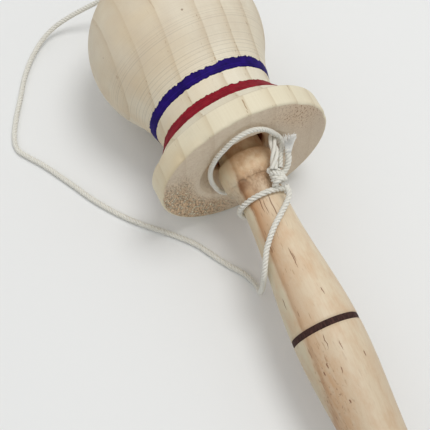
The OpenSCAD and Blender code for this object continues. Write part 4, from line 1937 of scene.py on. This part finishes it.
    def _mouth_loop(self) -> None:
        """Makes the slack loop that stands round the bead, with both ends in the knot."""
        path = smooth_path(self.on_toy(self.mouth_route), self.cord.step)
        past = np.arange(len(path)) - self.slack_from * len(path)
        slack = self.loop_slack * np.clip(past / self.slack_fade, 0, 1)
        swell = self.loop_swell + self.slack_swell * slack
        piece = self.cord.lay_along(path, swell, slack=slack).make("cord_mouth_loop", self.material)
        ride(piece, "tie", "cotton_cord", "mouth_loop")

    def _neck_tie(self) -> None:
        """Makes the turn of cord round the neck."""
        turn = np.linspace(0, FULL_TURN, self.tie_stations, endpoint=False)
        radius = self.stick.neck_r + self.clear + self.cord.radius
        path = self.stick.axis.place(radius, self.tie_at, turn) / MM
        piece = self.cord.lay_along(path, rounds=self.tie_rounds).make("cord_neck_tie", self.material)
        ride(piece, "tie", "cotton_cord", "neck_tie")

    def knot(self, along: Array, out: Array, beside: Array, middle: Array) -> Surface:
        """Lumpy knot: windings round its length, each on a radius that grows evenly.

        Args:
            along: Direction of the knot's length.
            out: Direction across, away from the wood.
            beside: The other direction across.
            middle: Middle of the knot.

        Returns:
            The knot as one surface.
        """
        share = np.linspace(0, 1, self.knot_stations)
        parts = []
        for wind in self.knot_turns:
            angle = wind.first + FULL_TURN * wind.turns * share
            ring = np.cos(angle)[:, None] * out + np.sin(angle)[:, None] * beside
            wide = wind.near + (wind.far - wind.near) * share
            place = wind.start + (wind.end - wind.start) * share
            route = middle + place[:, None] * along + wide[:, None] * ring
            parts.append(self.cord.lay_along(smooth_path(route, self.cord.step)))
        return Surface.joined(parts)

    def _neck_knot(self) -> None:
        """Makes the knot on the slope from the bead to the neck."""
        axis = self.stick.axis
        out = axis.outward(math.radians(self.knot_turn))
        middle = axis.start + self.knot_at * axis.way + self.knot_out * out
        knot = self.knot(axis.way, out, np.cross(axis.way, out), middle)
        ride(knot.make("cord_neck_knot", self.material), "tie", "cotton_cord", "neck_knot")

    def _stopper_knot(self) -> None:
        """Makes the knot in the bottom of the socket, which keeps the cord in the ball."""
        axis = self.ball_axis
        knot = self.knot(axis.way, axis.up, axis.side, axis.start + self.stopper_at * axis.way)
        ride(knot.make("cord_stopper_knot", self.material), "ball", "cotton_cord", "stopper_knot")

    def _loose_tail(self) -> None:
        """Makes the loose end of the cord, which frays into a tuft of splayed fibres."""
        path = smooth_path(self.on_toy(self.tail_route), self.cord.step)
        whole = int(self.whole_share * len(path))
        parts = [self.cord.lay_along(path[:whole], np.linspace(1, self.end_swell, whole))]
        rng = np.random.default_rng(int(Seed.FRAYED_END))
        first, second = (directions[whole] for directions in CottonCord.across(path))
        share = np.linspace(0, 1, self.hair_stations)
        root = path[whole - self.hair_root]
        for _ in range(self.hairs):
            angle = rng.uniform(0, FULL_TURN)
            spread_out = math.sqrt(rng.uniform(0, 1))
            reach = rng.uniform(0.75, 1.15)
            curl = 1.3 * spread_out + rng.uniform(-0.3, 0.3)
            out = math.cos(angle) * first + math.sin(angle) * second
            splay = (0.95 * spread_out + curl * share**1.6)[:, None] * out
            line = root + reach * share[:, None] * (path[-1] - root) + splay
            parts.append(self.hair.lay_along(line, np.linspace(1, self.hair_tip, len(line))))
        piece = Surface.joined(parts).make("cord_loose_tail", self.material)
        ride(piece, "tie", "cotton_cord", "loose_tail")


@dataclass(frozen=True)
class Studio:
    """Camera, table and soft light.

    The camera's place is in millimetres and measured from the flange's face, like the toy's own sizes. The
    table, the lamp's place and its size are in metres.

    Attributes:
        heading: Direction that it looks in, in degrees from X towards Y.
        look_down: Angle that it looks down by, in degrees.
        table_lines: Lines of points along each side.
        key_from: Direction that the lamp's light comes from.
        sky_low: Strength of the sky at the horizon.
        sky_high: Strength of the sky overhead.
    """

    camera_at: Triple = (137.9, -81.3, 330.1)
    heading: float = 153.1
    look_down: float = 64.8
    lens: float = 85.3
    sensor: float = 36.0
    clip_near: float = 0.01
    clip_far: float = 20.0
    table_size: float = 6.0
    table_lines: int = 13
    key_from: Triple = (-0.04, 0.24, 0.96)
    key_far: float = 1.1
    key_size: float = 0.42
    key_watts: float = 4.1
    sky_low: float = 0.28
    sky_high: float = 0.85

    def camera(self, face_x: float) -> None:
        """Makes the camera at the photograph's viewing angle.

        Args:
            face_x: Place of the flange's face along X in metres.
        """
        data = bpy.data.cameras.new("camera")
        data.lens = self.lens
        data.sensor_width = self.sensor
        data.clip_start = self.clip_near
        data.clip_end = self.clip_far
        view = bpy.data.objects.new("camera", data)
        a, e = math.radians(self.heading), math.radians(self.look_down)
        forward = Vector((math.cos(e) * math.cos(a), math.cos(e) * math.sin(a), -math.sin(e)))
        view.location = Vector(self.camera_at) * MM + Vector((face_x, 0, 0))
        view.rotation_euler = forward.to_track_quat("-Z", "Y").to_euler()
        bpy.context.scene.collection.objects.link(view)
        bpy.context.scene.camera = view

    def light(self) -> None:
        """Makes a sky that grows brighter from the horizon up, and one soft lamp."""
        world = bpy.data.worlds.new("studio")
        bpy.context.scene.world = world
        world.use_nodes = True
        background = world.node_tree.nodes["Background"]
        background.inputs["Color"].default_value = (1.0, 1.0, 1.0, 1.0)
        g = Graph(world.node_tree)
        up = g.parts(g.add("TexCoord").outputs["Generated"])[2]
        rise = g.times(g.math("MAXIMUM", up, 0.0), self.sky_high - self.sky_low)
        g.feed(background.inputs["Strength"], g.math("ADD", rise, self.sky_low))

        lamp = bpy.data.lights.new("key", "AREA")
        lamp.shape = "DISK"
        lamp.size = self.key_size
        lamp.energy = self.key_watts
        key = bpy.data.objects.new("key", lamp)
        way = Vector(self.key_from).normalized()
        key.location = way * self.key_far
        key.rotation_euler = (-way).to_track_quat("-Z", "Y").to_euler()
        bpy.context.scene.collection.objects.link(key)

    def table(self, material: Material) -> None:
        """Makes the flat table that the toy lies on.

        Args:
            material: Finish of the table.
        """
        side = np.linspace(-self.table_size / 2, self.table_size / 2, self.table_lines)
        x, y = np.meshgrid(side, side, indexing="ij")
        surface = Surface.grid(np.stack([x, y, 0 * x], axis=-1), round_columns=False)
        surface.turned_over().make("table", material)


@dataclass(frozen=True)
class PegLean:
    """How the peg stands loosely in the socket, at the flange's face.

    Attributes:
        side: Distance of the stick's axis from the ball's, towards +Y.
        drop: Distance of the stick's axis below the ball's.
        down: Angle in degrees by which the stick goes down.
        sideways: Angle in degrees by which it turns towards +Y.
    """

    side: float = 0.4
    drop: float = 1.75
    down: float = 3.4
    sideways: float = -3.8

    def axis(self, face_x: float, axis_z: float) -> TurnAxis:
        """Axis of the stick, from the flange's face and the height of the ball's axis in millimetres."""
        return TurnAxis.leaning((face_x, self.side, axis_z - self.drop), self.down, self.sideways)


def main() -> None:
    """Builds the toy's pieces round the frame, in order, placed from the box of the ball's solid."""
    logging.basicConfig(level=logging.INFO, format="%(name)s: %(message)s")
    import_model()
    low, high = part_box("ball")
    face_x, axis_z = high.x / MM, (low.z + high.z) / 2 / MM
    ball = Ball(TurnAxis.leaning((face_x, 0, axis_z)))
    stick = Stick(PegLean().axis(face_x, axis_z))
    blue = PaintBand(ball, "blue_band", -26.7, -23.3, ragged=(0.5, 0.22), seed=Seed.BLUE_BAND, blot=0.75)
    red = PaintBand(ball, "red_band", -17.85, -12.55, ragged=(0.5, 0.16), seed=Seed.RED_BAND)

    bpy.context.scene.view_settings.view_transform = "Standard"
    studio = Studio()
    studio.camera(high.x)
    finishes = Finishes(Effects(), ball.axis, stick.axis)
    CordWork(ball.axis, stick, finishes.cotton).dress()
    ball.dress(finishes)
    blue.dress(finishes.blue_paint, "blue_paint")
    red.dress(finishes.red_paint, "red_paint")
    stick.dress(finishes)
    studio.light()
    studio.table(finishes.table)

    bpy.context.view_layer.update()


if __name__ == "__main__":
    main()
